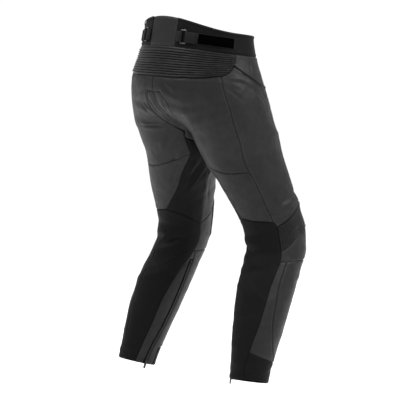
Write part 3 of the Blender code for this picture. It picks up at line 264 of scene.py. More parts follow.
# Folds and swellings of the cloth: which side, middle of the fold, slope of its line in degrees (up
# towards the back), half length and half width of it, and how far it stands out or sinks in
Fold = namedtuple("Fold", "side around height slope half_length half_width rise")
BOTH = 0
FOLDS = [
    Fold(BOTH, -0.50, -0.425, -4, 0.090, 0.014, 0.0040),
    Fold(BOTH, -0.55, -0.560, 0, 0.080, 0.022, 0.0035),
    Fold(BOTH, 0.40, -0.553, 0, 0.055, 0.012, -0.0050),
    Fold(BOTH, 0.45, -0.530, 4, 0.060, 0.011, 0.0030),
    Fold(LEFT, 0.60, -0.236, 3, 0.060, 0.014, 0.0040),
    Fold(BOTH, 0.80, -0.150, 14, 0.034, 0.006, 0.0022),
    Fold(BOTH, 0.77, -0.171, 6, 0.040, 0.006, -0.0020),
    Fold(BOTH, 0.74, -0.190, -6, 0.045, 0.008, 0.0026),
    Fold(RIGHT, 0.62, -0.222, -16, 0.050, 0.011, 0.0030),
    Fold(RIGHT, 0.50, -0.290, -28, 0.055, 0.012, -0.0022),
    Fold(BOTH, 0.05, -0.112, 22, 0.048, 0.007, 0.0020),
    Fold(BOTH, -0.10, -0.190, 60, 0.070, 0.022, 0.0025),
    Fold(BOTH, 0.20, -0.420, -70, 0.060, 0.016, 0.0025),
    Fold(BOTH, 0.36, -0.512, -8, 0.055, 0.010, -0.0028),
    Fold(BOTH, 0.50, -0.578, 10, 0.055, 0.010, 0.0026),
    Fold(BOTH, 0.42, -0.605, -12, 0.050, 0.010, -0.0024),
    Fold(BOTH, 0.48, -0.648, 16, 0.060, 0.013, 0.0022),
    Fold(BOTH, 0.50, -0.715, -14, 0.055, 0.012, -0.0020),
    Fold(BOTH, 0.52, -0.790, 10, 0.045, 0.012, 0.0018),
    Fold(BOTH, 0.90, -0.380, 34, 0.045, 0.009, 0.0022),
    Fold(BOTH, 0.96, -0.425, 30, 0.045, 0.009, -0.0020),
    Fold(BOTH, -0.62, -0.200, 24, 0.060, 0.010, 0.0024),
    Fold(BOTH, -0.72, -0.235, 12, 0.050, 0.010, -0.0020),
    Fold(BOTH, -0.55, -0.300, 60, 0.070, 0.020, 0.0022),
    Fold(BOTH, -0.45, -0.760, -10, 0.060, 0.016, 0.0022),
    Fold(BOTH, 0.15, -0.700, -62, 0.050, 0.014, 0.0020),
]

# Raised ribs: how many, where the first begins and the last ends as shares of the piece, and height
Ribs = namedtuple("Ribs", "count low high rise")
YOKE_RIBS = Ribs(11, 0.02, 0.90, 0.0020)
KNEE_RIBS = Ribs(14, 0.03, 0.97, 0.0016)

# Trims: what lies on the cloth is this far above it
LAID_GAP = 0.0004
WELT_WIDTH = 0.005
WELT_THICK = 0.0022
WELT_AHEAD = 0.004      # of around, from the pocket seam forwards
WELT_RAISED = 0.75      # of its width, above that seam
WELT_STEP = 0.0025
STRIP_ROUND = 0.3       # of a strip's thickness, rounded off along its edges
TAB_THICK = 0.0020
TAB_WIDTH = 0.034
TAB_LIFT = 0.0012       # over the hollow of the band's front
TAB_ENDS = (-0.10, 0.13)    # its ends, in around measured from the middle of the front
TAB_SAMPLES = 25
STRAP_THICK = 0.0010
WIRE = 0.0030           # of the adjuster's ring
RING_LENGTH = 0.0185
RING_AROUND = 0.720
ADJUSTER_RISE = 0.0270  # of its line above the band's lower edge
BAR_LIFT = LAID_GAP + STRAP_THICK + LAID_GAP + WIRE / 2
STRAP_WIDTH = 0.029
BAND_HOLLOW = 0.0004    # what the flat faces of the hollow band stand over its smooth form
STRAP_FRONT = 0.143     # where the strap is sewn on
STRAP_BACK = 0.580      # where it ends after it has come back
ANCHOR_END = 0.805
ANCHOR_WIDTH = 0.028
HOOK_WIDTH = 0.026
HOOK_SHORT_BACK = 0.020     # of around, from the strap's ends to the pile's
HOOK_SHORT_FRONT = 0.012
STRAP_STEP = 0.003
BEND_SAMPLES = 13       # of a strap round its bar
ADJUSTER_ENDS = (0.85, 0.10)
ADJUSTER_SAMPLES = 300
ZIP_SUNK = 0.0008       # how far the zip's tape lies below the leather's face
COIL_HEIGHT = 0.0018
ZIP_LINE = [(0.945, -0.608), (0.990, -0.670), (1.012, -0.735), (1.000, -0.785), (0.953, -0.830),
            (0.9125, -0.881)]

# Fine sampling
ROUND_SPAN = 0.30       # metres that one unit of around takes in the flat plan
SEAM_STEP = 0.004
SEAM_SAMPLES = 241      # of the smooth line from which a seam's points are picked
ROUTE_SAMPLES = 400
PITCH = 0.0041
ROW_RISE = 0.87         # of the pitch, from one row of the honeycomb to the next
EDGE_ROWS = (0.0009, 0.0024)    # distances from a seam of the rows of points that give it its roll
GRID_CLEAR = 0.0016     # from the last of those rows to the honeycomb
ROW_CLEAR = 0.85        # of the first row's distance, the least that its points keep from any seam
BAND_STEP = (0.0040, 0.0040)    # spacing of a four-sided panel's points, along and up
YOKE_STEP = (0.0040, 0.00075)
ACCORDION_STEP = (0.0035, 0.00065)
PATCH_MARGIN = 0.005    # from such a panel's ends to its even columns

# The roll of a panel's edge into its seam, and how far stretch cloth lies below leather
SEAM_DIP = 0.0016
SEAM_DIP_WIDTH = 0.0020
SEAM_PUFF = 0.00050
SEAM_PUFF_AT = 0.0045
SEAM_PUFF_WIDTH = 0.0022
STRETCH_SUNK = 0.0004
SEAM_SHADE_AND_SCUFF_FADE = 0.003      # how fast a seam's painted shade, and the band of scuffing and painted highlight beside it, fall away from it

# Small wrinkles, in the same columns as the folds
WRINKLES = [
    Fold(BOTH, 0.97, -0.208, 53, 0.025, 0.0045, 0.0026),
    Fold(BOTH, 0.95, -0.206, 44, 0.027, 0.0040, -0.0024),
    Fold(BOTH, 0.985, -0.170, 84, 0.021, 0.0026, -0.0014),
    Fold(BOTH, 0.95, -0.176, -86, 0.021, 0.0030, 0.0016),
    Fold(BOTH, 0.92, -0.172, -83, 0.018, 0.0028, -0.0014),
    Fold(RIGHT, 0.85, -0.124, 42, 0.021, 0.0045, -0.0016),
    Fold(RIGHT, 0.81, -0.122, 37, 0.022, 0.0050, 0.0016),
    Fold(RIGHT, 0.89, -0.134, 39, 0.012, 0.0035, 0.0016),
    Fold(LEFT, 0.87, -0.126, 34, 0.018, 0.0045, 0.0014),
    Fold(LEFT, 0.81, -0.182, -41, 0.013, 0.0045, 0.0024),
    Fold(LEFT, 0.78, -0.190, -79, 0.011, 0.0070, -0.0030),
    Fold(LEFT, 0.68, -0.2290, 1, 0.045, 0.0030, 0.0026),
    Fold(LEFT, 0.66, -0.2355, 1, 0.045, 0.0030, -0.0040),
    Fold(RIGHT, 0.66, -0.240, -8, 0.030, 0.0045, 0.0018),
    Fold(RIGHT, 0.72, -0.106, 0, 0.021, 0.0035, 0.0018),
    Fold(LEFT, 0.79, -0.102, -3, 0.034, 0.0035, 0.0014),
    Fold(RIGHT, 0.54, -0.184, 76, 0.054, 0.0160, -0.0030),
    Fold(RIGHT, 0.63, -0.228, 55, 0.062, 0.0120, 0.0022),
    Fold(RIGHT, 0.19, -0.102, 6, 0.016, 0.0030, 0.0018),
    Fold(BOTH, 0.18, -0.120, 16, 0.015, 0.0040, 0.0014),
    Fold(RIGHT, 0.12, -0.112, 13, 0.015, 0.0035, -0.0014),
    Fold(BOTH, -0.15, -0.436, -21, 0.032, 0.0060, 0.0008),
    Fold(RIGHT, -0.11, -0.420, -25, 0.024, 0.0060, -0.0010),
    Fold(BOTH, 0.65, -0.334, 55, 0.032, 0.0045, 0.0026),
    Fold(LEFT, 0.61, -0.332, 54, 0.026, 0.0045, -0.0026),
    Fold(LEFT, 0.64, -0.366, 57, 0.019, 0.0040, 0.0022),
    Fold(BOTH, 0.59, -0.380, 58, 0.017, 0.0040, -0.0018),
    Fold(LEFT, 0.58, -0.284, 44, 0.022, 0.0050, 0.0018),
    Fold(LEFT, 0.63, -0.284, 46, 0.027, 0.0060, -0.0020),
    Fold(BOTH, 0.84, -0.374, 53, 0.038, 0.0035, 0.0036),
    Fold(BOTH, 0.80, -0.362, 54, 0.033, 0.0050, -0.0040),
    Fold(LEFT, 0.70, -0.394, 54, 0.023, 0.0045, 0.0028),
    Fold(BOTH, 0.77, -0.352, 55, 0.024, 0.0050, 0.0032),
    Fold(LEFT, 0.45, -0.542, 31, 0.024, 0.0045, 0.0044),
    Fold(LEFT, 0.48, -0.530, 5, 0.012, 0.0035, -0.0034),
    Fold(LEFT, 0.57, -0.554, 19, 0.022, 0.0040, -0.0046),
    Fold(LEFT, 0.61, -0.564, 21, 0.020, 0.0040, 0.0030),
    Fold(LEFT, 0.75, -0.554, -23, 0.019, 0.0022, -0.0016),
    Fold(LEFT, 0.63, -0.538, 10, 0.014, 0.0050, 0.0018),
    Fold(LEFT, 0.39, -0.590, -84, 0.030, 0.0020, -0.0014),
    Fold(LEFT, 0.41, -0.670, 86, 0.050, 0.0020, -0.0014),
    Fold(LEFT, 0.43, -0.764, -80, 0.050, 0.0020, -0.0014),
    Fold(BOTH, 0.87, -0.620, -64, 0.010, 0.0025, -0.0024),
    Fold(LEFT, 0.96, -0.738, -27, 0.013, 0.0025, -0.0012),
    Fold(RIGHT, 0.58, -0.556, 81, 0.023, 0.0080, -0.0020),
    Fold(RIGHT, 0.12, -0.836, -12, 0.008, 0.0030, 0.0014),
    Fold(RIGHT, 0.12, -0.612, -85, 0.017, 0.0040, 0.0014),
    Fold(BOTH, 0.92, -0.410, -84, 0.031, 0.0030, 0.0024),
    Fold(BOTH, 0.97, -0.426, 88, 0.030, 0.0030, -0.0020),
    Fold(BOTH, -0.04, -0.074, -76, 0.016, 0.0050, -0.0016),
    Fold(BOTH, 0.12, -0.080, 44, 0.012, 0.0040, 0.0014),
    Fold(BOTH, 0.42, -0.110, -2, 0.040, 0.0052, 0.0014),
    Fold(BOTH, 0.20, -0.142, 34, 0.026, 0.0046, -0.0015),
    Fold(BOTH, 0.14, -0.135, -40, 0.020, 0.0046, 0.0015),
    Fold(BOTH, -0.05, -0.150, 30, 0.030, 0.0057, 0.0015),
    Fold(BOTH, -0.22, -0.150, 40, 0.026, 0.0052, -0.0015),
    Fold(BOTH, -0.02, -0.452, -12, 0.040, 0.0057, 0.0018),
    Fold(BOTH, 0.03, -0.438, -22, 0.034, 0.0052, -0.0018),
    Fold(BOTH, -0.20, -0.425, -16, 0.036, 0.0063, 0.0021),
    Fold(BOTH, -0.48, -0.400, -8, 0.045, 0.0069, -0.0021),
    Fold(BOTH, -0.66, -0.410, 10, 0.040, 0.0063, 0.0021),
    Fold(RIGHT, 0.42, -0.520, -6, 0.034, 0.0063, 0.0015),
    Fold(RIGHT, 0.60, -0.545, 12, 0.030, 0.0057, -0.0018),
    Fold(BOTH, 0.70, -0.600, 24, 0.036, 0.0057, 0.0018),
    Fold(BOTH, 0.72, -0.640, -28, 0.034, 0.0063, -0.0018),
    Fold(BOTH, 0.30, -0.650, 40, 0.034, 0.0063, 0.0015),
    Fold(BOTH, 0.38, -0.840, 22, 0.030, 0.0057, 0.0018),
    Fold(BOTH, 0.58, -0.850, -14, 0.034, 0.0057, -0.0018),
    Fold(BOTH, 0.10, -0.845, 10, 0.026, 0.0052, 0.0015),
    Fold(BOTH, -0.20, -0.855, -12, 0.028, 0.0052, -0.0015),
    Fold(BOTH, -0.88, -0.560, -14, 0.030, 0.0052, -0.0018),
    Fold(BOTH, -0.84, -0.200, 40, 0.034, 0.0057, 0.0018),
    Fold(BOTH, -0.74, -0.175, 26, 0.036, 0.0063, -0.0018),
    Fold(BOTH, -0.60, -0.150, 14, 0.040, 0.0063, 0.0015),
    Fold(BOTH, -0.35, -0.620, -10, 0.036, 0.0063, 0.0015),
    Fold(BOTH, -0.60, -0.610, 10, 0.036, 0.0063, -0.0015),
    Fold(BOTH, -0.50, -0.690, 4, 0.044, 0.0075, 0.0015),
]

# Uneven hand of the cloth: waves to a metre and their height
CRUMPLE = ((24.0, 0.0009), (62.0, 0.00040), (150.0, 0.00012))

# What each panel is made of, and how uneven its hand is
CLOTH_OF = {piece.name: "stretch" if piece.wall == STRETCH else "leather" for piece in PIECES}
HAND = {"leather": 1.0, "ribbed": 0.3, "stretch": 0.8}
RIB_SHARE = 1.5         # the ribs' height, as a multiple of that in their table
RIB_GROOVE_SHADE = 0.95       # of the seam value, for painted shade in a groove and a painted highlight on a crest
RIB_CREST_HIGHLIGHT = 0.25
RIB_FADE = 0.006        # how far from a panel's ends its ribs reach their height
SLIT_SLOPE = 0.35       # how far the crotch slit is opened on the plan, across to up
ZIP_TAPE_WALL = 0.0012
PLACKET_WALL = 0.0018
ZIP_TAPE = Piece("calf_zip", ZIP_TAPE_WALL, 0.95, "zip_head zip_back hem_zip -zip_front")
PLACKET = Piece("fly_placket", PLACKET_WALL, -0.9, "placket_top placket_curve placket_middle")
PANEL_LIFT = {"calf_zip": -ZIP_SUNK, "fly_placket": PLACKET_WALL + LAID_GAP}
CLOTH_OF.update(calf_zip="stretch", fly_placket="leather")

# Binding, sewing and zip teeth
BINDING_WIDTH = 0.0050
BINDING_THICK = 0.0012
BINDING_LIFT = 0.0009
BINDING_ABOVE = 0.0006  # of its edge over the band's
BINDING_SHORT = 0.001   # of around, from its end to the middle of the front
BINDING_SAMPLES = 220
STITCH_PITCH = 0.0034
STITCH_LENGTH = 0.0027
STITCH_FULL = 0.6       # of half a stitch, over which it has its full thickness
THREAD_RADIUS = 0.00028
THREAD_PROUD = 0.5      # of that radius, from the cloth to the thread's middle
FEWEST_STITCHES = 3
TAPE_WIDTH = 0.0100
TAPE_THICK = 0.0004
TOOTH_PITCH = 0.0016
TOOTH_WIDTH = 0.0026
TOOTH_LENGTH = 0.36     # half of it, as a share of the pitch
TOOTH_TOP = 0.6         # size of a tooth's top, to 1 at its foot
TOOTH_APART = 0.32      # of a tooth's width, from the zip's line to its middle
TOOTH_LIFT = 0.0003

# Angles in degrees over which an edge is shaded sharp
PANEL_SHARP = 55
STRIP_SHARP = 50
SEWING_SHARP = 40

# Rows of topstitching: the panel, its seams, and how far inside the panel the row runs
STITCH_ROWS = [
    ("seat", "yoke_low side_high thigh_cross gusset_edge gusset_top", 0.0035),
    ("thigh_back", "side_low knee_top_side inner_low", 0.0035),
    ("side_panel", "yoke_round side_front ribs_top_side", 0.0035),
    ("side_panel", "pocket_seam", 0.0060),
    ("front_thigh", "band_hip inner_front ribs_top_front front_middle", 0.0035),
    ("knee_cup", "ribs_low cup_low_side cup_low_front cup_edge_side cup_edge_inner", 0.0035),
    ("calf_outer", "calf_edge_side gaiter_top_side", 0.0035),
    ("shin", "pintuck gaiter_top_front zip_front", 0.0035),
    ("calf_inner", "cup_low_inner calf_edge_inner zip_back", 0.0035),
    ("waistband_side", "band_join band_side band_hip", 0.0035),
    ("waistband_side", "top_side", 0.0080),
    ("knee_back", "hem_back", 0.0120),
    ("calf_gaiter", "hem_gaiter", 0.0120),
]

MATERIALS = {}


# The form

def columns(table, height):
    """Every column of a table but the first, read smoothly at each height."""
    rows = np.array(sorted(table))
    known = rows[:, 0]
    i = np.clip(np.searchsorted(known, height) - 1, 0, len(known) - 2)
    step = known[i + 1] - known[i]
    t = np.clip((height - known[i]) / step, 0, 1)
    result = []
    for values in rows.T[1:]:
        slope = np.gradient(values, known)
        result.append((2 * t ** 3 - 3 * t ** 2 + 1) * values[i] + (t ** 3 - 2 * t ** 2 + t) * step * slope[i]
                      + (3 * t ** 2 - 2 * t ** 3) * values[i + 1] + (t ** 3 - t ** 2) * step * slope[i + 1])
    return result


def hip_share(height, power):
    """How much of a section is hips and not leg: 1 at the hips, falling steeply to 0 at the crotch."""
    return 1 - np.clip((HIP_Z - height) / (HIP_Z - CROTCH_Z), 0, 1) ** power


def into_turn(around):
    return np.where(around > 1, around - 2, np.where(around < -1, around + 2, around))


def base(around, height, side):
    """The smooth form without folds."""
    around = into_turn(around)
    x, y, across, depth, turn = columns(LEG, height)
    turn = np.radians(turn)
    x = np.where(height > CROTCH_Z, across * np.cos(turn), np.maximum(x, across * np.cos(turn) + SEAM_GAP))
    angle = math.pi * around
    leg_x = x + across * np.cos(angle) * np.cos(turn) - depth * np.sin(angle) * np.sin(turn)
    leg_y = y + across * np.cos(angle) * np.sin(turn) + depth * np.sin(angle) * np.cos(turn)
    half_width, front, back = columns(TORSO, height)
    hip_x = half_width * np.cos(angle / 2)
    hip_y = np.where(around > 0, back, front) * np.sin(angle / 2)
    in_front, behind = hip_share(height, FRONT_POWER), hip_share(height, BACK_POWER)
    share = in_front + (behind - in_front) * (1 + np.sin(angle / 2)) / 2
    return np.stack([side * ((1 - share) * leg_x + share * hip_x),
                     (1 - share) * leg_y + share * hip_y, height + 0 * around], axis=-1)


def span(height):
    """Metres of cloth in one unit of around at a height."""
    across, depth = columns(LEG, height)[2:4]
    half_width = columns(TORSO, height)[0]
    share = hip_share(height, BACK_POWER)
    return math.pi * (across + depth) / 2 * (1 - share) + math.pi / 2 * half_width * share


def one_fold(fold, around, height):
    turn = (around - fold.around + 1) % 2 - 1
    a, b = turn * span(height), height - fold.height
    slope = math.radians(fold.slope)
    along = a * math.cos(slope) + b * math.sin(slope)
    over = b * math.cos(slope) - a * math.sin(slope)
    return fold.rise * np.exp(-(along / fold.half_length) ** 2 - (over / fold.half_width) ** 2)


def rise_of(folds, around, height, side):
    return sum((one_fold(fold, around, height) for fold in folds if fold.side in (BOTH, side)), 0 * around)


def normals(around, height, side):
    """Outward directions of the smooth form."""
    turn, rise = 0.012, 0.004
    held = np.where(height > CROTCH_Z - rise, np.clip(around, -1 + turn, 1 - turn), around)
    d_around = base(held + turn, height, side) - base(held - turn, height, side)
    d_height = base(held, height + rise, side) - base(held, height - rise, side)
    out = side * np.cross(d_around, d_height)
    return out / np.linalg.norm(out, axis=-1, keepdims=True)


def cloth(around, height, side, lift=0.0):
    """Points of the garment's outer face, moved out by lift."""
    around, height = np.broadcast_arrays(np.asarray(around, float), np.asarray(height, float))
    rise = rise_of(FOLDS, around, height, side) + lift
    return base(around, height, side) + normals(around, height, side) * np.asarray(rise)[..., None]


# The flat plan: across is around in metres, and up is the length along the cloth from the hem line

PLAN_Z = np.concatenate([np.linspace(-0.94, CROTCH_Z, 90),
                         CROTCH_Z + (HIP_Z - CROTCH_Z) * np.linspace(0, 1, 140)[1:] ** 2,
                         np.linspace(HIP_Z, 0.07, 30)[1:]])
PLAN_AROUND = np.linspace(-1, 1, 81)
GRID = base(*np.meshgrid(PLAN_AROUND, PLAN_Z, indexing="ij"), LEFT)
PLAN_UP = np.concatenate([np.zeros((len(PLAN_AROUND), 1)),
                          np.cumsum(np.linalg.norm(np.diff(GRID, axis=1), axis=2), axis=1)], axis=1)


def plan_rows(around):
    """Length up the cloth at every PLAN_Z, for one value of around."""
    place = (float(into_turn(np.asarray(around))) + 1) / 2 * (len(PLAN_AROUND) - 1)
    i = min(int(place), len(PLAN_AROUND) - 2)
    return PLAN_UP[i] + (PLAN_UP[i + 1] - PLAN_UP[i]) * (place - i)


def up_at(around, height):
    return np.array([np.interp(z, PLAN_Z, plan_rows(a)) for a, z in zip(around, height)])


def height_at(around, up):
    return np.array([np.interp(u, plan_rows(a), PLAN_Z) for a, u in zip(around, up)])


def smooth_curve(points, count):
    """Count points on a smooth curve through the given ones."""
    points = np.asarray(points, float)
    if len(points) == 2:
        t = np.linspace(0, 1, count)[:, None]
        return points[0] * (1 - t) + points[1] * t
    place = path_lengths(points)
    table = np.column_stack([place, points])
    return np.column_stack(columns([tuple(row) for row in table], np.linspace(0, place[-1], count)))


def crumple(points, share):
    """Uneven height of hand-cut leather or cloth."""
    return share * np.array([sum(size * noise.noise(Vector(point) * waves) for waves, size in CRUMPLE)
                             for point in points])


def seam_roll(gap):
    """Height of a panel at a distance from its seam: sunk at the seam, with a low puff beside it."""
    puff = SEAM_PUFF * np.exp(-((gap - SEAM_PUFF_AT) / SEAM_PUFF_WIDTH) ** 2)
    return puff - SEAM_DIP * np.exp(-(gap / SEAM_DIP_WIDTH) ** 2)


def sample_seam(name):
    """(around, height) of points on a seam, SEAM_STEP apart."""
    seam = SEAMS[name]
    first, last = CORNERS[seam.first], CORNERS[seam.last]
    if callable(seam.between):
        end = last[0] - 2 * round((last[0] - first[0]) / 2) if abs(last[0] - first[0]) > 1.9 else last[0]
        around = np.linspace(first[0], end, SEAM_SAMPLES)
        height = seam.between(around)
    else:
        route = [first] + list(seam.between) + [last]
        turns = np.array([p[0] for p in route])
        for i in range(1, len(turns)):
            turns[i] -= 2 * round((turns[i] - turns[i - 1]) / 2)
        ups = up_at(turns, [p[1] for p in route])
        curve = smooth_curve(np.column_stack([turns * ROUND_SPAN, ups]), SEAM_SAMPLES)
        around = np.round(curve[:, 0] / ROUND_SPAN, 9)
        height = height_at(around, curve[:, 1])
        height[0], height[-1] = first[1], last[1]
    place = path_lengths(cloth(around, height, LEFT))
    numbers = np.arange(SEAM_SAMPLES)
    count = max(2, round(place[-1] / SEAM_STEP)) + 1
    pick = np.interp(np.linspace(0, place[-1], count), place, numbers)
    return along(np.column_stack([around, height]), numbers, pick)


def path_lengths(points):
    return np.concatenate([[0], np.cumsum(np.linalg.norm(np.diff(points, axis=0), axis=1))])


SAMPLED = {}


def seam_points(name):
    """The sampled seam, run backwards where its name starts with a minus sign."""
    key = name.lstrip("-")
    if key not in SAMPLED:
        SAMPLED[key] = sample_seam(key)
    return SAMPLED[key][::-1] if name.startswith("-") else SAMPLED[key]


def in_plan(points, middle):
    """Plan coordinates of (around, height) points, kept within one turn of the middle."""
    around = points[:, 0] - 2 * np.round((points[:, 0] - middle) / 2)
    return np.column_stack([around * ROUND_SPAN, up_at(points[:, 0], points[:, 1])])


def inside(points, loop):
    """Which plan points lie inside a loop."""
    odd = np.zeros(len(points), bool)
    for start, end in zip(loop, np.roll(loop, -1, axis=0)):
        crosses = (start[1] > points[:, 1]) != (end[1] > points[:, 1])
        rise = end[1] - start[1] or 1
        odd ^= crosses & (points[:, 0] < start[0] + (end[0] - start[0]) * (points[:, 1] - start[1]) / rise)
    return odd


def runs_clockwise(loop):
    ahead = np.roll(loop, -1, axis=0)
    return np.sum(loop[:, 0] * ahead[:, 1] - ahead[:, 0] * loop[:, 1]) < 0


def line_of(seams):
    """The (around, height) points of seams that follow each other, with both ends."""
    names = seams.split()
    return np.concatenate([seam_points(name)[:-1] for name in names] + [seam_points(names[-1])[-1:]])


def shares(points):
    """How far along its line each point lies, from 0 to 1."""
    place = path_lengths(points)
    return place / place[-1]


def risen(points):
    """How far up its line each point lies, from 0 to 1."""
    return (points[:, 1] - points[0, 1]) / (points[-1, 1] - points[0, 1])


def along(points, place, share):
    """Points read off a line at some places along it."""
    return np.column_stack([np.interp(share, place, points[:, i]) for i in range(points.shape[1])])


def blend(low, high, start, end, u, v):
    """Points of a four-sided patch between a low, a high, a start and an end line."""
    bottom, top = along(low, shares(low), u), along(high, shares(high), u)
    left, right = along(start, risen(start), v), along(end, risen(end), v)
    u, v = u[:, None], v[:, None]
    corners = ((1 - u) * (1 - v) * low[0] + u * (1 - v) * low[-1] + (1 - u) * v * high[0] + u * v * high[-1])
    return (1 - v) * bottom + v * top + (1 - u) * left + u * right - corners


def inset(points, out, turn):
    """A loop of points moved half a seam gap inwards along the cloth."""
    ahead, behind = np.roll(points, -1, axis=0) - points, points - np.roll(points, 1, axis=0)
    ways = []
    for step in (ahead, behind):
        way = turn * np.cross(out, step)
        ways.append(way / np.linalg.norm(way, axis=1, keepdims=True))
    both = ways[0] + ways[1]
    both = both / np.maximum(np.linalg.norm(both, axis=1, keepdims=True), 1e-6)
    reach = np.maximum(np.sum(both * ways[0], axis=1, keepdims=True), 0.35)
    return points + both * (SEAM_GAP / 2) / reach


# Filling the panels

def edge_gaps(points, loop, stretch):
    """Metres on the cloth from plan points to the loop; stretch is the cloth's width in the plan's."""
    start, edge = loop, np.roll(loop, -1, axis=0) - loop
    result = []
    for part in np.array_split(np.arange(len(points)), max(1, len(points) // 600)):
        away = points[part, None] - start
        wide = np.column_stack([stretch[part], np.ones(len(part))])[:, None]
        away, side = away * wide, edge[None] * wide
        share = np.clip(np.sum(away * side, axis=2) / np.maximum(np.sum(side ** 2, axis=2), 1e-12), 0, 1)
        result.append(np.linalg.norm(away - share[..., None] * side, axis=2).min(axis=1))
    return np.concatenate(result)


def honeycomb(low, high):
    """Plan points a pitch apart in staggered rows, between two corners."""
    rows = np.arange(low[1], high[1], PITCH * ROW_RISE)
    places = np.arange(low[0], high[0], PITCH)
    return np.array([(x + PITCH / 2 * (i % 2), y) for i, y in enumerate(rows) for x in places])


def rows_beside(loop, stretch):
    """Plan points beside a counter-clockwise loop, at each of the EDGE_ROWS distances from it."""
    wide = np.column_stack([stretch, np.ones(len(loop))])
    ahead = (np.roll(loop, -1, axis=0) - np.roll(loop, 1, axis=0)) * wide
    inwards = np.column_stack([-ahead[:, 1], ahead[:, 0]])
    inwards /= np.maximum(np.linalg.norm(inwards, axis=1, keepdims=True), 1e-9)
    return np.concatenate([loop + inwards * distance / wide for distance in EDGE_ROWS])


def plan_faces(flat, size):
    """Triangles that fill the loop of the first size points through all the others."""
    points = [Vector((float(x), float(y))) for x, y in flat]
    edges = [(i, (i + 1) % size) for i in range(size)]
    found, _, faces, sources, _, _ = delaunay_2d_cdt(points, edges, [list(range(size))], 1, 1e-7)
    if len(found) != len(flat):
        raise ValueError("the plan's points merge or cross")
    return [[sources[i][0] for i in face] for face in faces]


def open_slit(flat, points):
    """Spread the gusset's plan above the crotch, where the front and back of a half come apart."""
    way = np.where(points[:, 0] > 0, -1, 1)
    crotch_up = up_at([1.0], [CROTCH_Z])[0]
    spread = SLIT_SLOPE * np.maximum(flat[:, 1] - crotch_up, 0)
    return np.column_stack([flat[:, 0] + way * spread, flat[:, 1]])


def on_cloth(flat):
    """The (around, height) of plan points."""
    around = into_turn(np.round(flat[:, 0] / ROUND_SPAN, 9))
    return np.column_stack([around, height_at(around, flat[:, 1])])


def stretch_of(points):
    """The cloth's width in the plan's, at (around, height) points."""
    return span(points[:, 1]) / ROUND_SPAN


PLANS = {}


def panel_plan(piece):
    """A panel's points as (around, height), its faces, its loop's size and each point's gap to the seam."""
    if piece.name in PLANS:
        return PLANS[piece.name]
    loop = np.concatenate([seam_points(seam)[:-1] for seam in piece.seams.split()])
    edge = in_plan(loop, piece.middle)
    if runs_clockwise(edge):
        loop, edge = loop[::-1], edge[::-1]
    grid = honeycomb(edge.min(axis=0), edge.max(axis=0))
    points = on_cloth(grid)
    near = rows_beside(edge, stretch_of(loop))
    near_points = on_cloth(near)
    if piece.name == "crotch_gusset":
        edge, grid = open_slit(edge, loop), open_slit(grid, points)
        near, near_points = near[:0], near_points[:0]
    in_grid = inside(grid, edge)
    grid, points = grid[in_grid], points[in_grid]
    gaps = edge_gaps(grid, edge, stretch_of(points))
    keep = gaps > EDGE_ROWS[-1] + GRID_CLEAR
    near_in = inside(near, edge) if len(near) else np.zeros(0, bool)
    near, near_points = near[near_in], near_points[near_in]
    near_gaps = edge_gaps(near, edge, stretch_of(near_points)) if len(near) else np.zeros(0)
    near_keep = near_gaps > EDGE_ROWS[0] * ROW_CLEAR
    flat = np.concatenate([edge, near[near_keep], grid[keep]])
    faces = plan_faces(flat, len(edge))
    every = np.concatenate([loop, near_points[near_keep], points[keep]])
    gaps = np.concatenate([np.zeros(len(edge)), near_gaps[near_keep], gaps[keep]])
    PLANS[piece.name] = every, faces, len(loop), gaps
    return PLANS[piece.name]


def new_object(name, points, faces, sharp, flat=None, near_edge=None):
    """An object of points and faces, with each point's flat coordinates and nearness to a seam on cloth."""
    mesh = bpy.data.meshes.new(name)
    mesh.from_pydata(np.asarray(points).tolist(), [], faces)
    if flat is not None:
        corners = np.empty(len(mesh.loops), int)
        mesh.loops.foreach_get("vertex_index", corners)
        mesh.uv_layers.new(name="cloth").data.foreach_set("uv", flat[corners].astype(np.float32).ravel())
        # The seam attribute drives painted shade in seam lines and rib grooves, and a lighter band of
        # scuffing and painted highlight
        mesh.attributes.new("seam", "FLOAT", "POINT").data.foreach_set("value", near_edge.astype(np.float32))
    mesh.shade_smooth()
    mesh.set_sharp_from_angle(angle=math.radians(sharp))
    made = bpy.data.objects.new(name, mesh)
    bpy.context.scene.collection.objects.link(made)
    return made


def make_shell(name, outer, inner, faces, rim, flip, flat, near_edge):
    """A closed shell of cloth between two skins with the same faces; rim lists the points round its edge."""
    count = len(outer)
    every = [list(face) for face in faces] + [[i + count for i in reversed(face)] for face in faces]
    every += [[j, i, i + count, j + count] for i, j in zip(rim, rim[1:] + rim[:1])]
    if flip:
        every = [face[::-1] for face in every]
    return new_object(name, np.concatenate([outer, inner]), every, PANEL_SHARP, np.tile(flat, (2, 1)),
                      np.tile(near_edge, 2))


def dress(shell, node, cloth_name):
    """What every panel is given: its material and its body; the node it stands for is hidden."""
    shell.data.materials.append(MATERIALS[cloth_name])
    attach(shell, "trousers")
    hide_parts(node)


def make_panel(piece, side):
    points, faces, size, gaps = panel_plan(piece)
    around, height = points[:, 0], points[:, 1]
    cloth_name = CLOTH_OF[piece.name]
    sunk = -STRETCH_SUNK if cloth_name == "stretch" else 0.0
    smooth = cloth(around, height, side)
    lift = rise_of(WRINKLES, around, height, side) + seam_roll(gaps) + sunk + PANEL_LIFT.get(piece.name, 0.0)
    lift += crumple(smooth, HAND[cloth_name])
    out = normals(around, height, side)
    outer = smooth + out * lift[:, None]
    outer[:size] = inset(outer[:size], out[:size], side)
    flat = np.column_stack([around * span(height), up_at(around, height)])
    flat[:, 0] -= np.round((around - piece.middle) / 2) * 2 * span(height)
    name = piece.name if piece is PLACKET else piece.name + "_" + SIDES[side]
    inner, rim = outer - out * piece.wall, list(range(size))
    # Painted shade and highlight: this nearness to a seam makes the leather darker in the seam line and
    # lighter a few millimetres off, as scuffing and a painted highlight on the roll
    near_edge = np.exp(-gaps / SEAM_SHADE_AND_SCUFF_FADE)
    shell = make_shell(name + "_cloth", outer, inner, faces, rim, side < 0, flat, near_edge)
    dress(shell, name, cloth_name)


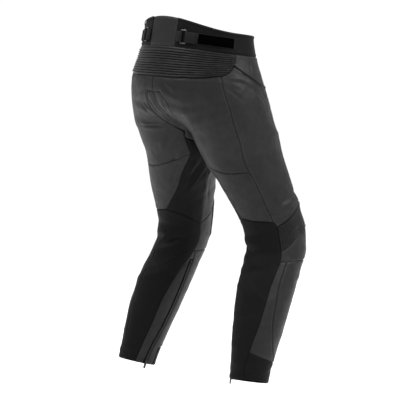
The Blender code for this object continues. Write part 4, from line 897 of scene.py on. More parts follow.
def make_patch(node, cloth_name, wall, lines, place, flip, step, ribs=None):
    """A four-sided panel as a grid between its low, high, start and end lines, with rounded ribs along it."""
    low, high, start, end = lines
    length = path_lengths(place(low)[0])[-1]
    rise = path_lengths(place(end)[0])[-1]
    columns_count, rows_count = max(6, round(length / step[0])), max(4, round(rise / step[1]))
    trim_u, trim_v = SEAM_GAP / 2 / length, SEAM_GAP / 2 / rise
    ends = np.array([0, *EDGE_ROWS]) / length
    even = np.linspace(PATCH_MARGIN / length, 1 - PATCH_MARGIN / length, columns_count)
    u_lines = np.concatenate([ends, even, 1 - ends[::-1]]) * (1 - 2 * trim_u) + trim_u
    v_lines = np.linspace(trim_v, 1 - trim_v, rows_count)
    u, v = [axis.ravel() for axis in np.meshgrid(u_lines, v_lines)]
    points = blend(low, high, start, end, u, v)
    gap_u, gap_v = np.minimum(u, 1 - u) * length, np.minimum(v, 1 - v) * rise
    lift = seam_roll(np.minimum(gap_u, gap_v))
    # Painted shade and highlight: nearness to the patch's edges, dark in the seam line and lighter beside it,
    # as scuffing and a painted highlight
    near_edge = np.exp(-np.minimum(gap_u, gap_v) / SEAM_SHADE_AND_SCUFF_FADE)
    if ribs:
        place_in_rib = (v - ribs.low) / (ribs.high - ribs.low) * ribs.count
        share = np.clip(1 - (2 * (place_in_rib % 1) - 1) ** 2, 0, 1)
        held = (place_in_rib > 0) & (place_in_rib < ribs.count)
        lift += np.where(held, ribs.rise * share * RIB_SHARE, 0) * np.clip(gap_u / RIB_FADE, 0, 1) ** 0.5
        # Painted light on the ribs: a groove takes the dark seam colour as painted shade, a crest the lighter
        # edge colour as a painted highlight
        near_edge = np.where(held, RIB_GROOVE_SHADE * (1 - share) + RIB_CREST_HIGHLIGHT * share, near_edge)
    smooth, out = place(points)
    lift += crumple(smooth, HAND[cloth_name])
    outer = smooth + out * lift[:, None]
    flat = np.column_stack([u * length, v * rise])
    wide = len(u_lines)
    faces = [[j * wide + i, j * wide + i + 1, (j + 1) * wide + i + 1, (j + 1) * wide + i]
             for j in range(rows_count - 1) for i in range(wide - 1)]
    rim = (list(range(wide)) + [j * wide + wide - 1 for j in range(1, rows_count)]
           + [(rows_count - 1) * wide + i for i in range(wide - 2, -1, -1)]
           + [j * wide for j in range(rows_count - 2, 0, -1)])
    shell = make_shell(node + "_cloth", outer, smooth - out * wall, faces, rim, flip, flat, near_edge)
    dress(shell, node, cloth_name)


def across_back(seams):
    """Seams that run outwards from the centre back, of both halves, as one line from right to left."""
    half = line_of(seams)
    half = np.column_stack([1 - half[:, 0], half[:, 1]])
    return np.concatenate([half[::-1] * (-1, 1), half[1:]])


def place_across(points):
    """Points of a piece that crosses the centre back, from (signed around from the back, height)."""
    around, height = 1 - np.abs(points[:, 0]), points[:, 1]
    outer, out = np.empty((len(points), 3)), np.empty((len(points), 3))
    for side in SIDES:
        mine = points[:, 0] * side >= 0
        outer[mine] = cloth(around[mine], height[mine], side)
        out[mine] = normals(around[mine], height[mine], side)
    return outer, out


def make_back_pieces():
    edge = line_of("band_join")[::-1]
    edge = np.column_stack([1 - edge[:, 0], edge[:, 1]])
    lines = across_back("band_back"), across_back("top_back"), edge * (-1, 1), edge
    make_patch("waistband_back", "leather", LEATHER, lines, place_across, True, BAND_STEP)
    edge = line_of("yoke_round yoke_end")
    edge = np.column_stack([1 - edge[:, 0], edge[:, 1]])
    lines = across_back("yoke_low"), across_back("band_back band_side"), edge * (-1, 1), edge
    make_patch("yoke_back_ribbed", "ribbed", STRETCH, lines, place_across, True, YOKE_STEP, YOKE_RIBS)


def make_accordion(side):
    def place(points):
        return cloth(points[:, 0], points[:, 1], side), normals(points[:, 0], points[:, 1], side)

    lines = [line_of("ribs_low"), line_of("ribs_top_side ribs_top_front"), line_of("-ribs_end_side"),
             line_of("-ribs_end_inner")]
    make_patch("knee_accordion_" + SIDES[side], "ribbed", STRETCH, lines, place, side > 0, ACCORDION_STEP,
               KNEE_RIBS)


# Straps and trims

def unit(vectors):
    return vectors / np.linalg.norm(vectors, axis=-1, keepdims=True)


def make_ribbon(name, node, finish, middles, outs, width, thick, way=None):
    """A strip with rounded edges swept along points, its face towards outs."""
    ahead = unit(np.gradient(middles, axis=0))
    laterals = unit(np.cross(outs, ahead if way is None else way))
    up = unit(np.cross(laterals, ahead))
    half, round_off = width / 2, thick * STRIP_ROUND
    section = [(-half, -round_off), (-half + round_off, -thick / 2), (0, -thick / 2),
               (half - round_off, -thick / 2), (half, -round_off), (half, round_off),
               (half - round_off, thick / 2), (0, thick / 2), (-half + round_off, thick / 2),
               (-half, round_off)]
    count = len(section)
    points = np.concatenate([[m + lateral * a + rise * b for a, b in section]
                             for m, lateral, rise in zip(middles, laterals, up)])
    faces = [list(range(count))[::-1], [len(points) - count + i for i in range(count)]]
    faces += [[count * i + k, count * i + (k + 1) % count, count * (i + 1) + (k + 1) % count,
               count * (i + 1) + k] for i in range(len(middles) - 1) for k in range(count)]
    place = path_lengths(middles)
    flat = np.array([(a, length) for length in place for a, _ in section])
    ribbon = new_object(name, points, faces, STRIP_SHARP, flat, np.zeros(len(points)))
    turn_outwards(ribbon)
    ribbon.data.materials.append(MATERIALS[finish])
    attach(ribbon, "trousers")
    if node:
        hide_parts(node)


def turn_outwards(shape):
    bpy.ops.object.select_all(action="DESELECT")
    bpy.context.view_layer.objects.active = shape
    shape.select_set(True)
    bpy.ops.object.mode_set(mode="EDIT")
    bpy.ops.mesh.select_all(action="SELECT")
    bpy.ops.mesh.normals_make_consistent(inside=False)
    bpy.ops.object.mode_set(mode="OBJECT")
    shape.select_set(False)


def make_welt(side):
    """The piped edge over the hip pocket."""
    name = "pocket_welt_" + SIDES[side]
    seam = SEAMS["pocket_seam"]
    route = [CORNERS[seam.first]] + seam.between + [CORNERS[seam.last]]
    route = [(around - WELT_AHEAD, height + WELT_WIDTH * WELT_RAISED) for around, height in route]
    around, height, middles = along_route(route, side, WELT_STEP, LAID_GAP + WELT_THICK / 2)
    make_ribbon(name + "_piping", name, "leather", middles, normals(around, height, side), WELT_WIDTH,
                WELT_THICK)


def along_route(route, side, step, lift):
    """Points on the cloth, a step apart, along a smooth line through a route of (around, height)."""
    curve = smooth_curve([(a * ROUND_SPAN, z) for a, z in route], ROUTE_SAMPLES)
    around, height = np.round(curve[:, 0] / ROUND_SPAN, 9), curve[:, 1]
    points = cloth(around, height, side, lift)
    place = path_lengths(points)
    pick = np.interp(np.arange(0, place[-1], step), place, np.arange(ROUTE_SAMPLES)).round().astype(int)
    return around[pick], height[pick], points[pick]


def make_binding(side):
    """The narrow black tape along the top edge of the band's side, laid on its outer face."""
    around = np.linspace(CORNERS["top_edge"][0], -1 + BINDING_SHORT, BINDING_SAMPLES)
    height = band_top(around) - BINDING_WIDTH / 2 + BINDING_ABOVE
    middles = cloth(around, height, side, BINDING_LIFT)
    make_ribbon("band_binding_" + SIDES[side], None, "webbing", middles, normals(around, height, side),
                BINDING_WIDTH, BINDING_THICK)


class BandLine:
    """The line of a waist adjuster along the band, measured forwards from the middle of its ring."""

    def __init__(self, side):
        self.side = side
        self.around = np.linspace(*ADJUSTER_ENDS, ADJUSTER_SAMPLES)
        self.height = band_bottom(self.around) + ADJUSTER_RISE
        place = path_lengths(cloth(self.around, self.height, side))
        self.place = place - np.interp(-RING_AROUND, -self.around, place)

    def point(self, ahead, lift):
        """A point at a distance ahead of the ring's middle, the way out there and the way ahead."""
        around = np.interp(ahead, self.place, self.around)
        height = np.interp(ahead, self.place, self.height)
        further = np.interp(np.asarray(ahead) + 0.001, self.place, self.around)
        step = cloth(further, height, self.side) - cloth(around, height, self.side)
        middle = cloth(around, height, self.side, lift + BAND_HOLLOW)
        return middle, normals(around, height, self.side), unit(step)

    def ahead_of(self, around):
        return float(np.interp(-around, -self.around, self.place))


def make_strap(node, line, low_end, high_end, end_lift, width):
    """A strap round one bar of the ring: from its low end to the bar, round it and back to its high end."""
    way = 1 if low_end > 0 else -1
    radius = (WIRE + STRAP_THICK) / 2 + LAID_GAP
    bar = (RING_LENGTH - WIRE) / 2
    turn = np.linspace(-math.pi / 2, math.pi / 2, BEND_SAMPLES)
    low = np.arange(abs(low_end), bar + STRAP_STEP / 2, -STRAP_STEP)
    high = np.arange(bar + STRAP_STEP / 2, abs(high_end), STRAP_STEP)
    drop = np.linspace(0, 1, len(high)) ** 2 * (BAR_LIFT + radius - end_lift)
    ahead = np.concatenate([low, bar - radius * np.cos(turn), high])
    lift = np.concatenate([0 * low + BAR_LIFT - radius, BAR_LIFT + radius * np.sin(turn),
                           BAR_LIFT + radius - drop])
    middles, outs, forward = line.point(way * ahead, lift)
    make_ribbon(node + "_webbing", node, "webbing", middles, outs, width, STRAP_THICK, forward)


def make_adjuster(side):
    """The short anchor that holds the frame's flat ring, a strap that comes through the ring and folds back
    on itself, and its hook patch.
    """
    line, name = BandLine(side), SIDES[side]
    on_strap = 2 * LAID_GAP + 1.5 * STRAP_THICK
    make_strap("adjuster_strap_" + name, line, line.ahead_of(STRAP_FRONT), line.ahead_of(STRAP_BACK),
               on_strap, STRAP_WIDTH)
    anchor = line.ahead_of(ANCHOR_END)
    make_strap("adjuster_anchor_" + name, line, anchor, anchor, on_strap, ANCHOR_WIDTH)
    back, front = line.ahead_of(STRAP_BACK - HOOK_SHORT_BACK), line.ahead_of(STRAP_FRONT + HOOK_SHORT_FRONT)
    ahead = np.arange(back, front, STRAP_STEP)
    middles, outs, _ = line.point(ahead, on_strap)
    make_ribbon("hook_patch_" + name + "_pile", "hook_patch_" + name, "hook", middles, outs, HOOK_WIDTH,
                STRAP_THICK)


def make_placket():
    """The strip over the front opening, with the tab that closes the band."""
    tab_middles, outs = [], []
    for turn in np.linspace(*TAB_ENDS, TAB_SAMPLES):
        side, around = (RIGHT if turn < 0 else LEFT), -1 + abs(turn)
        height = (band_top(around) + band_bottom(around)) / 2
        tab_middles.append(cloth(around, height, side, TAB_LIFT + TAB_THICK / 2))
        outs.append(normals(np.asarray(around), np.asarray(height), side))
    make_ribbon("waist_tab_cloth", "waist_tab", "webbing", np.array(tab_middles), np.array(outs), TAB_WIDTH,
                TAB_THICK)
    make_panel(PLACKET, LEFT)


# The sewing inside

def make_seam_tapes(side):
    """A tape over the inside of every seam of a half but the hem and top seams, which holds the sewn edges
    together.
    """
    names = {name.lstrip("-") for piece in PIECES for name in piece.seams.split()}
    points, faces, length = [], [], 0.0
    for seam in sorted(names):
        if seam.startswith(("hem", "top")):
            continue
        around, height = seam_points(seam).T
        lift = rise_of(WRINKLES, around, height, side) + seam_roll(0.0) - LEATHER
        middles, out = cloth(around, height, side, lift), normals(around, height, side)
        over = unit(np.cross(out, np.gradient(middles, axis=0)))
        start, count = len(points), len(middles)
        for across, down in ((-0.5, 1), (0.5, 1), (0.5, 2), (-0.5, 2)):
            points += (middles + over * TAPE_WIDTH * across - out * TAPE_THICK * down).tolist()
        for i in range(count - 1):
            faces += [[start + a * count + i, start + b * count + i, start + b * count + i + 1,
                       start + a * count + i + 1] for a, b in ((0, 1), (1, 2), (2, 3), (3, 0))]
        faces += [[start + k * count + i for k in range(4)] for i in (0, count - 1)]
        length += path_lengths(middles)[-1]
    tapes = plain_object("seam_tapes_" + SIDES[side], points, faces, "thread")


# Sewing

def row_beside(seam, piece, distance):
    """(around, height) of a line inside a panel at a distance from one of its seams."""
    loop = np.concatenate([seam_points(name)[:-1] for name in piece.seams.split()])
    points = seam_points(seam)
    signed = [name for name in piece.seams.split() if name.lstrip("-") == seam][0]
    if signed.startswith("-") != runs_clockwise(in_plan(loop, piece.middle)):
        points = points[::-1]
    flat = in_plan(points, piece.middle)
    wide = np.column_stack([span(points[:, 1]) / ROUND_SPAN, np.ones(len(points))])
    ahead = np.gradient(flat, axis=0) * wide
    inwards = np.column_stack([-ahead[:, 1], ahead[:, 0]]) / np.linalg.norm(ahead, axis=1, keepdims=True)
    flat = flat + inwards * distance / wide
    around = np.round(flat[:, 0] / ROUND_SPAN, 9)
    return around, height_at(around, flat[:, 1])


def make_stitches(side):
    """Every row of topstitching on a half, each stitch a slim spindle lying on the cloth."""
    rings = [(x, a, b) for x in (-STITCH_FULL, STITCH_FULL) for a, b in ((1, 0), (0, 1), (-1, 0), (0, -1))]
    spindle = np.array([(-1, 0, 0)] + rings + [(1, 0, 0)]) * (STITCH_LENGTH / 2, THREAD_RADIUS, THREAD_RADIUS)
    sides = [[0, 1 + (k + 1) % 4, 1 + k] for k in range(4)] + [[9, 5 + k, 5 + (k + 1) % 4] for k in range(4)]
    sides += [[1 + k, 1 + (k + 1) % 4, 5 + (k + 1) % 4, 5 + k] for k in range(4)]
    points, faces = [], []
    for piece_name, seams, distance in STITCH_ROWS:
        piece = next(piece for piece in PIECES if piece.name == piece_name)
        sunk = -STRETCH_SUNK if CLOTH_OF[piece_name] == "stretch" else 0.0
        for seam in seams.split():
            around, height = row_beside(seam, piece, distance)
            lift = rise_of(WRINKLES, around, height, side) + seam_roll(distance) + sunk
            lift += THREAD_RADIUS * THREAD_PROUD
            line, out = cloth(around, height, side, lift), normals(around, height, side)
            place = path_lengths(line)
            middles = np.arange(distance, place[-1] - distance, STITCH_PITCH)
            centers, outs = [np.column_stack([np.interp(middles, place, values[:, i]) for i in range(3)])
                             for values in (line, out)]
            if len(centers) < FEWEST_STITCHES:
                continue
            ahead = unit(np.gradient(centers, axis=0))
            over = unit(np.cross(outs, ahead))
            up = np.cross(ahead, over)
            made = (centers[:, None] + spindle[None, :, :1] * ahead[:, None]
                    + spindle[None, :, 1:2] * over[:, None] + spindle[None, :, 2:] * up[:, None])
            start = sum(len(block) for block in points)
            points.append(made.reshape(-1, 3))
            faces += [[start + len(spindle) * i + corner for corner in face]
                      for i in range(len(centers)) for face in sides]
    plain_object("topstitching_" + SIDES[side], np.concatenate(points), faces, "thread")


def plain_object(name, points, faces, finish, node=None):
    """A small piece of one finish, with its faces turned outwards."""
    shape = new_object(name, points, faces, SEWING_SHARP)
    shape.data.materials.append(MATERIALS[finish])
    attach(shape, "trousers")
    if node:
        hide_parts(node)
    turn_outwards(shape)
    return shape


def make_zip_teeth(side):
    """The zip's two rows of teeth, set in turn along its line."""
    proud = COIL_HEIGHT / 2 - ZIP_SUNK + TOOTH_LIFT
    around, height, line = along_route(ZIP_LINE, side, TOOTH_PITCH / 2, proud)
    outs = normals(around, height, side)
    ahead = unit(np.gradient(line, axis=0))
    over = unit(np.cross(outs, ahead))
    corners = np.array([(x, y, z) for x in (-1, 1) for y in (-1, 1) for z in (-1, 1)])
    top = np.where(corners[:, 2:] > 0, TOOTH_TOP, 1.0)
    half = TOOTH_PITCH * TOOTH_LENGTH, TOOTH_WIDTH / 2, COIL_HEIGHT / 2
    corners = corners * np.column_stack([top, top, np.ones(len(corners))]) * half
    box = [[0, 1, 3, 2], [4, 6, 7, 5], [0, 4, 5, 1], [2, 3, 7, 6], [0, 2, 6, 4], [1, 5, 7, 3]]
    points, faces = [], []
    for i in range(len(line)):
        center = line[i] + over[i] * TOOTH_WIDTH * (TOOTH_APART if i % 2 else -TOOTH_APART)
        turned = np.array([ahead[i], over[i], outs[i]])
        points.append(center + corners @ turned)
        faces += [[8 * i + corner for corner in face] for face in box]
    plain_object("zip_teeth_" + SIDES[side], np.concatenate(points), faces, "plastic",
                 node="zip_coil_" + SIDES[side])


# Finishes

def add_node(tree, kind, inputs=None, **settings):
    """A node with its settings, and its inputs set to values or joined to other nodes' outputs."""
    made = tree.nodes.new(kind)
    for key, value in settings.items():
        setattr(made, key, value)
    for key, value in (inputs or {}).items():
        if isinstance(value, bpy.types.NodeSocket):
            tree.links.new(value, made.inputs[key])
        else:
            made.inputs[key].default_value = value
    return made


def new_group(name, inputs, outputs):
    tree = bpy.data.node_groups.new(name, "ShaderNodeTree")
    for label, kind, default in inputs:
        socket = tree.interface.new_socket(name=label, in_out="INPUT", socket_type=kind)
        if default is not None:
            socket.default_value = default
    for label, kind in outputs:
        tree.interface.new_socket(name=label, in_out="OUTPUT", socket_type=kind)
    return tree, tree.nodes.new("NodeGroupInput").outputs, tree.nodes.new("NodeGroupOutput").inputs


def make_grain():
    """Leather grain: pebbles parted by fine creases, pores, and slow mottling."""
    tree, given, result = new_group("leather grain", [
        ("Vector", "NodeSocketVector", None), ("Pebbles per metre", "NodeSocketFloat", 620.0)],
        [("Height", "NodeSocketFloat"), ("Tone", "NodeSocketFloat")])
    warp = add_node(tree, "ShaderNodeTexNoise", {"Vector": given["Vector"], "Scale": 240.0, "Detail": 2.0})
    shift = add_node(tree, "ShaderNodeVectorMath", {0: warp.outputs["Color"], 1: (0.0022, 0.0022, 0.0022)},
                     operation="MULTIPLY")
    place = add_node(tree, "ShaderNodeVectorMath", {0: given["Vector"], 1: shift.outputs[0]}, operation="ADD")
    pebbles = add_node(tree, "ShaderNodeTexVoronoi", {
        "Vector": place.outputs[0], "Scale": given["Pebbles per metre"]}, feature="DISTANCE_TO_EDGE")
    round_top = add_node(tree, "ShaderNodeMapRange", {"Value": pebbles.outputs["Distance"], "From Max": 0.22},
                         interpolation_type="SMOOTHSTEP")
    pores = add_node(tree, "ShaderNodeTexNoise", {"Vector": given["Vector"], "Scale": 1900.0, "Detail": 1.0})
    height = add_node(tree, "ShaderNodeMath", {0: round_top.outputs[0], 1: pores.outputs["Fac"]},
                      operation="MULTIPLY")
    tree.links.new(height.outputs[0], result["Height"])
    slow = add_node(tree, "ShaderNodeTexNoise", {"Vector": given["Vector"], "Scale": 45.0, "Detail": 6.0,
                                                 "Roughness": 0.70})
    tone = add_node(tree, "ShaderNodeMapRange", {"Value": slow.outputs["Fac"], "From Min": 0.32,
                                                 "From Max": 0.68})
    tree.links.new(tone.outputs[0], result["Tone"])
    return tree


def make_weave():
    """Woven or knitted cloth on its own flat coordinates: threads that cross, and a slow unevenness."""
    tree, given, result = new_group("weave", [
        ("Vector", "NodeSocketVector", None), ("Threads per metre", "NodeSocketFloat", 1100.0),
        ("Ribs", "NodeSocketFloat", 0.0)],
        [("Height", "NodeSocketFloat"), ("Tone", "NodeSocketFloat")])
    apart = add_node(tree, "ShaderNodeSeparateXYZ", {"Vector": given["Vector"]})
    turns = add_node(tree, "ShaderNodeMath", {0: given["Threads per metre"], 1: 2 * math.pi},
                     operation="MULTIPLY")
    waves = []
    for axis in ("X", "Y"):
        angle = add_node(tree, "ShaderNodeMath", {0: apart.outputs[axis], 1: turns.outputs[0]},
                         operation="MULTIPLY")
        waves.append(add_node(tree, "ShaderNodeMath", {0: angle.outputs[0]}, operation="SINE"))
    crossed = add_node(tree, "ShaderNodeMath", {0: waves[0].outputs[0], 1: waves[1].outputs[0]},
                       operation="MULTIPLY")
    both = add_node(tree, "ShaderNodeMix", {"Factor": given["Ribs"], "A": crossed.outputs[0],
                                            "B": waves[1].outputs[0]}, data_type="FLOAT")
    height = add_node(tree, "ShaderNodeMapRange", {"Value": both.outputs[0], "From Min": -1.0})
    tree.links.new(height.outputs[0], result["Height"])
    slow = add_node(tree, "ShaderNodeTexNoise", {"Vector": given["Vector"], "Scale": 22.0, "Detail": 4.0})
    tree.links.new(slow.outputs["Fac"], result["Tone"])
    return tree


def make_edge_scuff_and_light():
    """Round a seam: how much the rolled edge is made lighter, unevenly, as scuffing and a painted highlight,
    and how dark the painted shade in the seam is; on ribs, a painted highlight on each crest and painted
    shade in each groove.
    """
    tree, given, result = new_group("edge wear", [
        ("Vector", "NodeSocketVector", None), ("Edge", "NodeSocketFloat", 0.0),
        ("Amount", "NodeSocketFloat", 0.3)],
        [("Scuff and highlight", "NodeSocketFloat"), ("Seam shade", "NodeSocketFloat")])
    broken = add_node(tree, "ShaderNodeTexNoise", {"Vector": given["Vector"], "Scale": 70.0, "Detail": 4.0})
    band = add_node(tree, "ShaderNodeMapRange", {"Value": given["Edge"], "From Min": 0.05, "From Max": 0.35},
                    interpolation_type="SMOOTHSTEP")
    share = add_node(tree, "ShaderNodeMath", {0: band.outputs[0], 1: broken.outputs["Fac"]},
                     operation="MULTIPLY")
    scuff_and_light = add_node(tree, "ShaderNodeMath", {0: share.outputs[0], 1: given["Amount"]}, operation="MULTIPLY",
                    use_clamp=True)
    tree.links.new(scuff_and_light.outputs[0], result["Scuff and highlight"])
    # Painted shade: the colour goes dark in a seam line and in each rib groove
    seam_shade = add_node(tree, "ShaderNodeMapRange", {"Value": given["Edge"], "From Min": 0.50, "From Max": 0.80},
                     interpolation_type="SMOOTHSTEP")
    tree.links.new(seam_shade.outputs[0], result["Seam shade"])
    return tree


def shader_of(name):
    made = bpy.data.materials.new(name)
    made.use_nodes = True
    return made, made.node_tree, made.node_tree.nodes["Principled BSDF"]


# Leather finishes: dark and light base colour, lighter edge colour (scuffing and a painted highlight, on ribs
# a painted crest highlight), roughness, gloss level, grain size and depth
Leather = namedtuple("Leather", "dark light rubbed roughness gloss pebbles depth")
LEATHERS = {
    "leather": Leather(0.0065, 0.0120, 0.030, 0.46, 0.23, 620.0, 0.00022),
    # The ribbed finish's lighter edge colour is a painted highlight on the rib crests
    "ribbed": Leather(0.0014, 0.0022, 0.048, 0.36, 0.15, 760.0, 0.00008),
}
# Painted shade in seam lines and rib grooves
SEAM_SHADE_COLOR = 0.0012
SCUFF_HIGHLIGHT_SHARE = 0.55     # of the lighter edge colour, scuffing and a painted highlight, at a seam's edge

# Cloth finishes: dark and light base colour, roughness, sheen, threads to a metre, share of ribs, depth
# and gloss
Cloth = namedtuple("Cloth", "dark light roughness sheen threads ribs depth gloss")
CLOTHS = {
    "stretch": Cloth(0.0030, 0.0046, 0.58, 0.02, 1150.0, 0.25, 0.00020, 0.085),
    "webbing": Cloth(0.0075, 0.0100, 0.74, 0.05, 900.0, 0.75, 0.00022, 0.12),
    "hook": Cloth(0.0006, 0.0012, 1.00, 0.00, 700.0, 0.00, 0.00035, 0.00),
    "thread": Cloth(0.0060, 0.0090, 0.60, 0.00, 2600.0, 1.00, 0.00005, 0.20),
}

# Hard finishes: base colour, roughness, metallic, size of the fine marks to a metre and their depth
Hard = namedtuple("Hard", "color roughness metallic marks depth")
HARDS = {
    "plastic": Hard((0.022, 0.022, 0.023), 0.34, 0.0, 900.0, 0.00004),
    "metal": Hard((0.050, 0.050, 0.054), 0.34, 1.0, 1400.0, 0.00003),
}

# Small hard pieces of both halves that keep their form from the frame, and their finishes
KEPT = {"adjuster_ring": "plastic", "zip_slider": "metal", "zip_pull": "metal"}


def gray(value):
    return (value, value, value * 1.03, 1.0)


def mix(tree, factor, first, second, **settings):
    """The colour between two colours."""
    return add_node(tree, "ShaderNodeMix", {"Factor": factor, "A": first, "B": second}, data_type="RGBA",
                    **settings).outputs["Result"]


def add_bump(tree, shader, height, strength, depth):
    bump = add_node(tree, "ShaderNodeBump", {"Height": height, "Strength": strength, "Distance": depth})
    tree.links.new(bump.outputs["Normal"], shader.inputs["Normal"])


def vary_roughness(tree, shader, tone, first, last):
    rough = add_node(tree, "ShaderNodeMapRange", {"Value": tone, "To Min": first, "To Max": last})
    tree.links.new(rough.outputs[0], shader.inputs["Roughness"])


def leather_finish(name, finish, grain, scuff_and_light):
    made, tree, shader = shader_of(name)
    place = add_node(tree, "ShaderNodeTexCoord").outputs["Object"]
    edge = add_node(tree, "ShaderNodeAttribute", attribute_name="seam").outputs["Fac"]
    hide = add_node(tree, "ShaderNodeGroup", {"Vector": place, "Pebbles per metre": finish.pebbles},
                    node_tree=grain).outputs
    edge_marks = add_node(tree, "ShaderNodeGroup", {"Vector": place, "Edge": edge, "Amount": SCUFF_HIGHLIGHT_SHARE},
                   node_tree=scuff_and_light).outputs
    mottled = mix(tree, hide["Tone"], gray(finish.dark), gray(finish.light))
    # The edge is painted lighter, as scuffing and a highlight, and the seam line itself darker, as painted
    # shade
    scuffed_and_highlit = mix(tree, edge_marks["Scuff and highlight"], mottled, gray(finish.rubbed))
    tree.links.new(mix(tree, edge_marks["Seam shade"], scuffed_and_highlit, gray(SEAM_SHADE_COLOR)), shader.inputs["Base Color"])
    vary_roughness(tree, shader, hide["Tone"], finish.roughness + 0.07, finish.roughness - 0.05)
    shader.inputs["Specular IOR Level"].default_value = finish.gloss
    add_bump(tree, shader, hide["Height"], 0.6, finish.depth)
    return made


def cloth_finish(name, finish, weave):
    """Cloth whose threads follow its flat coordinates; the sewing thread has none and follows space."""
    made, tree, shader = shader_of(name)
    if name == "thread":
        place = add_node(tree, "ShaderNodeTexCoord").outputs["Object"]
    else:
        place = add_node(tree, "ShaderNodeUVMap", uv_map="cloth").outputs["UV"]
    threads = add_node(tree, "ShaderNodeGroup", {"Vector": place, "Threads per metre": finish.threads,
                                                 "Ribs": finish.ribs}, node_tree=weave).outputs
    mottled = mix(tree, threads["Tone"], gray(finish.dark), gray(finish.light))
    # Painted shade: the base colour darkens to 0.72 of itself in the hollows between threads
    sunk = add_node(tree, "ShaderNodeMapRange", {"Value": threads["Height"], "To Min": 0.72}).outputs[0]
    shaded = mix(tree, 1.0, mottled, sunk, blend_type="MULTIPLY")
    tree.links.new(shaded, shader.inputs["Base Color"])
    for label, value in (("Roughness", finish.roughness), ("Specular IOR Level", finish.gloss),
                         ("Sheen Weight", finish.sheen), ("Sheen Roughness", 0.45)):
        shader.inputs[label].default_value = value
    add_bump(tree, shader, threads["Height"], 0.5, finish.depth)
    return made


def hard_finish(name, finish, grain):
    made, tree, shader = shader_of(name)
    place = add_node(tree, "ShaderNodeTexCoord").outputs["Object"]
    marks = add_node(tree, "ShaderNodeGroup", {"Vector": place, "Pebbles per metre": finish.marks},
                     node_tree=grain).outputs
    shader.inputs["Base Color"].default_value = (*finish.color, 1)
    shader.inputs["Metallic"].default_value = finish.metallic
    vary_roughness(tree, shader, marks["Tone"], finish.roughness - 0.05, finish.roughness + 0.08)
    add_bump(tree, shader, marks["Height"], 0.3, finish.depth)
    return made


def make_materials():
    grain, weave, scuff_and_light = make_grain(), make_weave(), make_edge_scuff_and_light()
    for name, finish in LEATHERS.items():
        MATERIALS[name] = leather_finish(name, finish, grain, scuff_and_light)
    for name, finish in CLOTHS.items():
        MATERIALS[name] = cloth_finish(name, finish, weave)
    for name, finish in HARDS.items():
        MATERIALS[name] = hard_finish(name, finish, grain)


def finish_kept_nodes():
    """The small hard pieces that the frame already shows get their finish."""
    finishes = {stem + "_" + word: finish for stem, finish in KEPT.items() for word in SIDES.values()}
    finishes["waist_snap"] = "metal"
    for name, finish in finishes.items():
        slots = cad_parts[name].data.materials
        slots.clear()
        slots.append(MATERIALS[finish])


# The studio

CAMERA_TURN = 228.0     # degrees round the wearer from the front, and above the horizon
CAMERA_RISE = 6.5
CAMERA_AWAY = 9.0
PIXELS_PER_METRE = 384.0
PICTURE = 416
AIM_ACROSS = 0.018      # of the picture's middle from the origin, to the right and up
AIM_UP = -0.45
FLOOR_Z = -1.02
SKY_LOW = 0.30          # strength of the soft light from the horizon and from overhead
SKY_HIGH = 1.50
FLOOR_SIZE = 60
FLOOR_COLOR = 0.94
FLOOR_ROUGHNESS = 0.9
FARTHEST = 100          # metres that the camera sees
LAMP_AIM_Z = -0.42


def make_camera():
    turn, rise = math.radians(CAMERA_TURN), math.radians(CAMERA_RISE)
    back = Vector((math.sin(turn) * math.cos(rise), -math.cos(turn) * math.cos(rise), math.sin(rise)))
    right = Vector((math.cos(turn), math.sin(turn), 0))
    data = bpy.data.cameras.new("camera")
    data.lens = data.sensor_width * PIXELS_PER_METRE * CAMERA_AWAY / PICTURE
    data.clip_end = FARTHEST
    camera = bpy.data.objects.new("camera", data)
    camera.rotation_mode = "QUATERNION"
    camera.rotation_quaternion = (-back).to_track_quat("-Z", "Y")
    camera.location = back * CAMERA_AWAY + right * AIM_ACROSS + back.cross(right) * AIM_UP
    bpy.context.scene.collection.objects.link(camera)
    bpy.context.scene.camera = camera
    return back, right


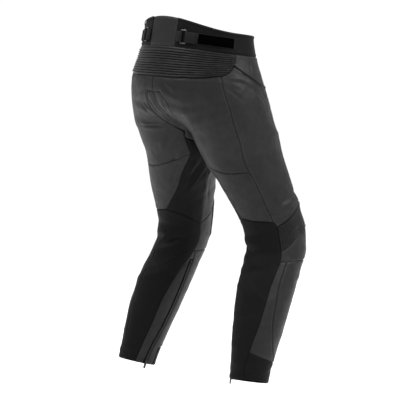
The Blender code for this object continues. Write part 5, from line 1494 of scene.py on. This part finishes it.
# Soft lights: place in the camera's right, away towards it, and up; size and power
Light = namedtuple("Light", "name right near up size power")
LIGHTS = [
    Light("key", -1.2, 0.4, 2.3, 1.0, 26.0),
    Light("fill", 1.9, 0.9, 1.9, 1.2, 42.0),
    Light("behind", 0.2, -1.9, 1.6, 1.2, 14.0),
]


def make_lamps(back, right):
    near = Vector((back.x, back.y, 0)).normalized()
    middle = Vector((0, 0, LAMP_AIM_Z))
    for light in LIGHTS:
        data = bpy.data.lights.new(light.name, "AREA")
        data.size = light.size
        data.energy = light.power
        lamp = bpy.data.objects.new(light.name, data)
        lamp.location = middle + right * light.right + near * light.near + Vector((0, 0, light.up))
        lamp.rotation_euler = (lamp.location - middle).to_track_quat("Z", "Y").to_euler()
        bpy.context.scene.collection.objects.link(lamp)


def make_floor():
    bpy.ops.mesh.primitive_plane_add(size=FLOOR_SIZE, location=(0, 0, FLOOR_Z))
    floor = bpy.context.active_object
    floor.name = "floor"
    pale, _, shader = shader_of("pale floor")
    shader.inputs["Base Color"].default_value = (FLOOR_COLOR, FLOOR_COLOR, FLOOR_COLOR, 1)
    shader.inputs["Roughness"].default_value = FLOOR_ROUGHNESS
    floor.data.materials.append(pale)


def make_sky():
    """Soft white light that grows from the horizon upwards."""
    world = bpy.data.worlds.new("studio")
    world.use_nodes = True
    sky = world.node_tree
    way = add_node(sky, "ShaderNodeTexCoord").outputs["Generated"]
    up = add_node(sky, "ShaderNodeSeparateXYZ", {"Vector": way}).outputs["Z"]
    strength = add_node(sky, "ShaderNodeMapRange", {"Value": up, "To Min": SKY_LOW, "To Max": SKY_HIGH})
    sky.nodes["Background"].inputs["Color"].default_value = (1, 1, 1, 1)
    sky.links.new(strength.outputs[0], sky.nodes["Background"].inputs["Strength"])
    bpy.context.scene.world = world
    bpy.context.scene.view_settings.view_transform = "Standard"


make_materials()
for piece in PIECES:
    for side in SIDES:
        make_panel(piece, side)
make_back_pieces()
make_placket()
for side in SIDES:
    make_accordion(side)
    make_panel(ZIP_TAPE, side)
    make_zip_teeth(side)
    make_welt(side)
    make_binding(side)
    make_adjuster(side)
    make_stitches(side)
    make_seam_tapes(side)
finish_kept_nodes()
make_lamps(*make_camera())
make_floor()
make_sky()
